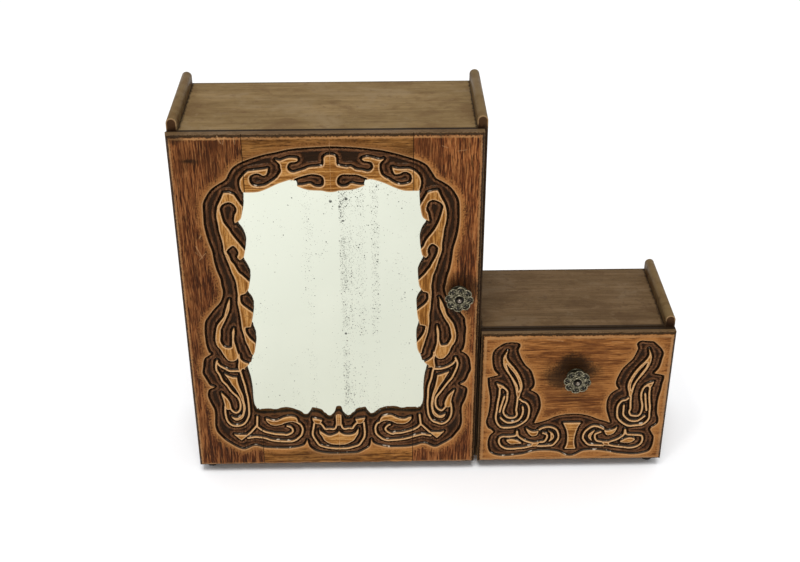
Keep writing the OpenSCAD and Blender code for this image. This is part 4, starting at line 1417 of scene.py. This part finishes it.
PITCH = 0.5
LEAF_GAP = 0.2        # room above and below each hinge leaf in the door's back
MORTISE_STEPS = (((-1.0, 1.3), 9.6), ((1.3, 8.3), 10.3))      # their width and their depth
door_board = Board((0.0, BASE_Z), DOOR_W, DOOR_H, OPENING_X,
                   (round(DOOR_W / PITCH), round(DOOR_H / PITCH)),
                   (DOOR_BAND, DOOR_LAND, DOOR_POCKETS, DOOR_RIDGES), 11, DOOR_MARKS)
opening_half = curve(OPENING, closed=False)
opening_line = np.concatenate([
    np.stack([OPENING_X + opening_half[:, 0], opening_half[:, 1]], 1),
    np.stack([OPENING_X - opening_half[::-1, 0], opening_half[::-1, 1]], 1)])

leaves = [node_box(side + "_hinge_door_leaf") for side in ("lower", "upper")]
mortises = [(low.z - BASE_Z - LEAF_GAP, high.z - BASE_Z + LEAF_GAP) for low, high in leaves]
TOP_RAIL_Z = 290      # the rails' inner edges lie inside the opening
LOW_RAIL_Z = 70
rebate_level = [(REBATE_X, REBATE_Z, GLASS_Y)]
mortise_levels = [(across, ends, depth) for across, depth in MORTISE_STEPS for ends in mortises]

members = [
    ("carved_hinge_stile", "door_hinge_stile", (0, SEAM_LEFT), (0, DOOR_H),
     rebate_level + mortise_levels, [hinge_stile_wood, edge_wood_z, opening_wall_shade]),
    ("carved_knob_stile", "door_knob_stile", (SEAM_RIGHT, DOOR_W), (0, DOOR_H),
     rebate_level, [knob_stile_wood, edge_wood_z, opening_wall_shade]),
    ("carved_top_rail", "door_top_rail", (SEAM_LEFT, SEAM_RIGHT), (TOP_RAIL_Z, DOOR_H),
     rebate_level, [top_rail_wood, edge_wood_x, opening_wall_shade]),
    ("carved_bottom_rail", "door_bottom_rail", (SEAM_LEFT, SEAM_RIGHT), (0, LOW_RAIL_Z),
     rebate_level, [low_rail_wood, edge_wood_x, opening_wall_shade]),
]
for name, node, x_range, z_range, levels, materials in members:
    member = Member(door_board, x_range, z_range, levels, opening_line)
    piece = member.piece(name, materials)
    hand_over(piece, "front_stain", "door", node)

# ---- The drawer's carved front ---------------------------------------------------------------

drawer_w = drawer_high.x - drawer_low.x
drawer_h = drawer_high.z - drawer_low.z
drawer_pitch = 0.55
half_count = round(drawer_w / 2 / drawer_pitch)
drawer_board = Board((drawer_low.x, drawer_low.z), drawer_w, drawer_h, drawer_w / 2,
                     (2 * half_count, round(drawer_h / drawer_pitch)),
                     (DRAWER_BAND, DRAWER_LAND, DRAWER_POCKETS, DRAWER_RIDGES), 31,
                     DRAWER_MARKS)
piece = Member(drawer_board, (0, drawer_w), (0, drawer_h), []).piece(
    "carved_drawer_front", [drawer_wood, drawer_edge_wood])
hand_over(piece, "front_stain", "drawer", "drawer_front")

# ---- Boards with eased edges -----------------------------------------------------------------


def eased(node, width, material, slot, body):
    """The node's board with its edges eased, and the eased strips marked as worn."""
    source = nodes[node]
    bm = bmesh.new()
    bm.from_mesh(source.data)
    bmesh.ops.remove_doubles(bm, verts=bm.verts, dist=1e-6)
    bmesh.ops.dissolve_limit(bm, angle_limit=math.radians(1.5), verts=bm.verts, edges=bm.edges)
    sharp = [e for e in bm.edges
             if len(e.link_faces) == 2 and e.calc_face_angle() > math.radians(35)]
    wear = bm.faces.layers.float.new("wear")
    strips = bmesh.ops.bevel(bm, geom=sharp, offset=width * MM, segments=2, profile=0.5,
                             affect="EDGES", clamp_overlap=True)
    for face in strips["faces"]:
        face[wear] = 1.0
        face.smooth = True
    mesh = bpy.data.meshes.new(node + "_board")
    bm.to_mesh(mesh)
    bm.free()
    mesh.materials.clear()
    mesh.materials.append(material)
    piece = new_piece(node + "_board", mesh)
    piece.matrix_world = source.matrix_world.copy()
    hand_over(piece, slot, body, node)


for node in SIDE_PANELS:
    eased(node, 0.7, side_wood, "case_board", "case")
eased("cabinet_top", 0.5, top_wood, "case_board", "case")
eased("drawer_box_top", 0.5, box_top_wood, "case_board", "case")
for node in ("cabinet_bottom", "drawer_box_bottom", "cabinet_shelf", "necklace_rail"):
    eased(node, 0.5, inner_wood, "case_board", "case")
for node in ("drawer_left_side", "drawer_right_side", "drawer_back"):
    eased(node, 0.6, inner_wood, "drawer_wood", "drawer")

# ---- Knobs and feet --------------------------------------------------------------------------

PETALS = 8
PETAL_TURN = math.radians(-6)
ROSETTE_BACK = -8.0      # in front of the fronts' face, where y is 0
LOOP_WIRE = 0.55
CURL_WIRE = 0.42
RING_WIRE = 0.72
RING_R = 4.7
BALL_R = 2.1
WIRE, GAP, BALL = 1, 2, 3      # the flower's materials after the plain metal


def petal_loop(angle, inner, outer, half_wide, count=18):
    """Points of a round-ended petal, in the rosette's plane: (x, z) from its middle."""
    points = []
    for k in range(count):
        t = 2 * math.pi * k / count
        r = (inner + outer) / 2 - (outer - inner) / 2 * math.cos(t)
        swell = 0.62 + 0.38 * (r - inner) / (outer - inner)
        side = half_wide * swell * math.sin(t)
        points.append((r * math.cos(angle) - side * math.sin(angle),
                       r * math.sin(angle) + side * math.cos(angle)))
    return points


def add_petal(flower, x, y, z, angle):
    """One petal: a wire loop round a hollow, two curls and two beads."""
    loop = [(x + p, y - 1.6, z + q) for p, q in petal_loop(angle, 5.2, 12.35, 4.5)]
    flower.tube(loop, LOOP_WIRE, kind=WIRE)
    hollow = [(x + p, y - 1.52, z + q) for p, q in petal_loop(angle, 8.0, 11.2, 2.1, 12)]
    flower.add(hollow, [range(len(hollow))], kind=GAP)
    for side in (-1, 1):
        curl = []
        for t in np.linspace(0, 1, 9):
            turn = angle + side * (0.10 + 0.17 * math.sin(t * math.pi))
            r = 6.2 + 3.6 * t
            curl.append((x + r * math.cos(turn), y - 1.7, z + r * math.sin(turn)))
        flower.tube(curl, CURL_WIRE, closed=False, kind=WIRE, sides=6)
    for t, size in ((6.6, 0.75), (11.4, 0.5)):
        cx, cz = x + t * math.cos(angle), z + t * math.sin(angle)
        flower.lathe([(0.05, y - 1.8 - size), (size * 0.7, y - 1.6 - size * 0.7),
                      (size, y - 1.5), (size, y - 1.2)], (cx, 0, cz), kind=WIRE, steps=8)


def back_plate(name, x, z, body):
    """A dished round plate and the waisted stem that stands on it."""
    plate = Parts()
    plate.lathe([(8.0, 0), (8.8, 0), (9.0, -0.4), (8.7, -0.9), (7.9, -1.15), (7.0, -1.0),
                 (6.2, -1.1), (5.4, -1.4), (4.6, -1.4)], (x, 0, z), steps=48)
    plate.lathe([(4.7, -1.2), (4.4, -1.9), (3.4, -3.0), (2.9, -4.6), (3.1, -6.2), (3.9, -7.6),
                 (5.2, -8.2)], (x, 0, z), steps=32)
    plate.piece(name + "_back_plate", [knob_metal], "antiqued_metal", body,
                name + "_backplate", name + "_stem")


def scallop(a):
    """The flower's edge in a direction, as a share of its full radius."""
    turn = (a - PETAL_TURN) * PETALS / 2
    return 0.80 + 0.20 * abs(math.cos(turn)) ** 0.7


def flower_head(name, x, z, body):
    """An open flower of eight petals, with a ball in a ring at its middle."""
    flower = Parts()
    y = ROSETTE_BACK
    flower.lathe([(10.6, y), (11.9, y - 0.2), (12.3, y - 0.7), (11.9, y - 1.1), (9.5, y - 1.5),
                  (6.5, y - 1.3), (4.4, y - 1.4)], (x, 0, z), steps=96, scallop=scallop)
    for k in range(PETALS):
        add_petal(flower, x, y, z, PETAL_TURN + 2 * math.pi * k / PETALS)
    flower.lathe([(5.3, y - 1.2), (5.2, y - 2.4), (4.7, y - 3.0), (4.1, y - 2.6),
                  (3.7, y - 1.9), (0.3, y - 1.8)], (x, 0, z), kind=GAP, steps=40)
    ring = [(x + RING_R * math.cos(a), y - 2.5, z + RING_R * math.sin(a))
            for a in np.linspace(0, 2 * math.pi, 40, endpoint=False)]
    flower.tube(ring, RING_WIRE, kind=WIRE, sides=8)
    ball = [(BALL_R * math.sin(t), y - 3.6 - BALL_R * math.cos(t))
            for t in np.linspace(0.08, math.pi - 0.5, 12)]
    flower.lathe(ball, (x, 0, z), kind=BALL, steps=24)
    flower.piece(name + "_flower", [knob_metal, knob_wire, knob_gap, knob_ball],
                 "antiqued_metal", body, name + "_rosette")


for name, spot, body in (("door_knob", DOOR_KNOB, "door"), ("drawer_knob", DRAWER_KNOB, "drawer")):
    back_plate(name, spot.x, spot.z, body)
    flower_head(name, spot.x, spot.z, body)

feet_low, feet_high = node_box("feet")
FOOT_R = 6.0
feet = Parts()
for fx in (feet_low.x + FOOT_R, feet_high.x - FOOT_R):
    for fy in (feet_low.y + FOOT_R, feet_high.y - FOOT_R):
        feet.lathe([(1.6, 2.2), (1.9, 0.9), (3.6, 0.1), (4.6, 0.0), (5.2, 0.5), (5.5, 2.0),
                    (5.9, 8.2), (FOOT_R, 9.4), (FOOT_R, 10.0)], (fx, fy, 0), along="z", steps=28)
feet.piece("rubber_feet", [foot_rubber], "foot_plastic", "case", "feet")

# ---- The drawer's velvet pad -----------------------------------------------------------------

PAD_CELLS = (66, 38)
PAD_RIM = 5.0         # width over which the pad's rim is rounded


def pad_parts(low, high):
    """A thin pad: a plump, slightly uneven top with a rounded rim, over a flat underside."""
    x, y = np.meshgrid(np.linspace(low.x, high.x, PAD_CELLS[0] + 1),
                       np.linspace(low.y, high.y, PAD_CELLS[1] + 1))
    to_rim = np.minimum(np.minimum(x - low.x, high.x - x), np.minimum(y - low.y, high.y - y))
    from_crown = 1 - np.clip(to_rim / PAD_RIM, 0, 1)
    plump = 0.5 + 1.5 * np.sqrt(np.clip(1 - from_crown ** 2, 0, 1))
    plump += 0.22 * smoothstep(to_rim, 2, 12) * waves(x, y, 77, 34)
    top = np.stack([x, y, low.z + plump], -1).reshape(-1, 3)
    under = np.stack([x, y, np.full_like(x, low.z)], -1).reshape(-1, 3)
    ids = np.arange(x.size).reshape(x.shape)
    quads = np.stack([ids[:-1, :-1], ids[:-1, 1:], ids[1:, 1:], ids[1:, :-1]], -1).reshape(-1, 4)
    faces = quads.tolist() + (quads[:, ::-1] + x.size).tolist()
    rim = np.concatenate([ids[0, :-1], ids[:-1, -1], ids[-1, :0:-1], ids[:0:-1, 0]])
    for a, b in zip(rim, np.roll(rim, -1)):
        faces.append((a, b, b + x.size, a + x.size))
    pad = Parts()
    pad.add(np.concatenate([top, under]), faces)
    return pad


velvet_pad = pad_parts(*node_box("drawer_lining")).piece(
    "velvet_pad", [velvet], "velvet", "drawer", "drawer_lining")

# ---- Stage: floor, light, camera -------------------------------------------------------------

FLOOR_REACH = 60.0    # metres
floor_mesh = bpy.data.meshes.new("floor")
floor_corners = [(x * FLOOR_REACH, y * FLOOR_REACH, 0)
                 for x, y in ((-1, -1), (1, -1), (1, 1), (-1, 1))]
floor_mesh.from_pydata(floor_corners, [], [(0, 1, 2, 3)])
floor = new_piece("floor", floor_mesh)
shade = Shader("floor_paper")
shade.surface.inputs["Base Color"].default_value = (0.97, 0.975, 0.985, 1)
shade.surface.inputs["Roughness"].default_value = 0.9
shade.surface.inputs["Specular IOR Level"].default_value = 0.1
floor_mesh.materials.append(shade.material)

world = bpy.data.worlds.new("studio")
bpy.context.scene.world = world
world.use_nodes = True
world.node_tree.nodes["Background"].inputs["Color"].default_value = (1, 1, 1, 1)
world.node_tree.nodes["Background"].inputs["Strength"].default_value = 0.62


def lamp(name, kind, energy, heading, position=(0, 0, 0), **settings):
    """A light that shines along heading, placed in the model's metres."""
    data = bpy.data.lights.new(name, kind)
    data.energy = energy
    for key, value in settings.items():
        setattr(data, key, value)
    light = new_piece(name, data)
    light.location = position
    light.rotation_euler = Vector(heading).to_track_quat("-Z", "Y").to_euler()


lamp("sun", "SUN", 1.6, (0.02, 0.5, -1.1), angle=math.radians(24))
lamp("key", "AREA", 6, (0.5, 0.9, -1.85), (-0.5, -0.9, 2.0), shape="DISK", size=0.3)

CAMERA_AT = (178.8, -952.7, 792.7)
CAMERA_YAW = math.radians(0.993)
CAMERA_PITCH = math.radians(31.08)
CAMERA_ROLL = math.radians(-0.148)
SENSOR_W = 36
LENS = 56.187
camera_data = bpy.data.cameras.new("camera")
camera_data.sensor_width = SENSOR_W
camera_data.lens = LENS
camera_data.clip_start = 0.02
camera = new_piece("camera", camera_data)
forward = Vector((math.sin(CAMERA_YAW) * math.cos(CAMERA_PITCH),
                  math.cos(CAMERA_YAW) * math.cos(CAMERA_PITCH), -math.sin(CAMERA_PITCH)))
level = forward.cross(Vector((0, 0, 1))).normalized()
right = level * math.cos(CAMERA_ROLL) + level.cross(forward) * math.sin(CAMERA_ROLL)
axes = Matrix((right, right.cross(forward), -forward)).transposed()
camera.matrix_world = Matrix.Translation(place(*CAMERA_AT)) @ axes.to_4x4()
bpy.context.scene.camera = camera
bpy.context.scene.view_settings.view_transform = "Standard"
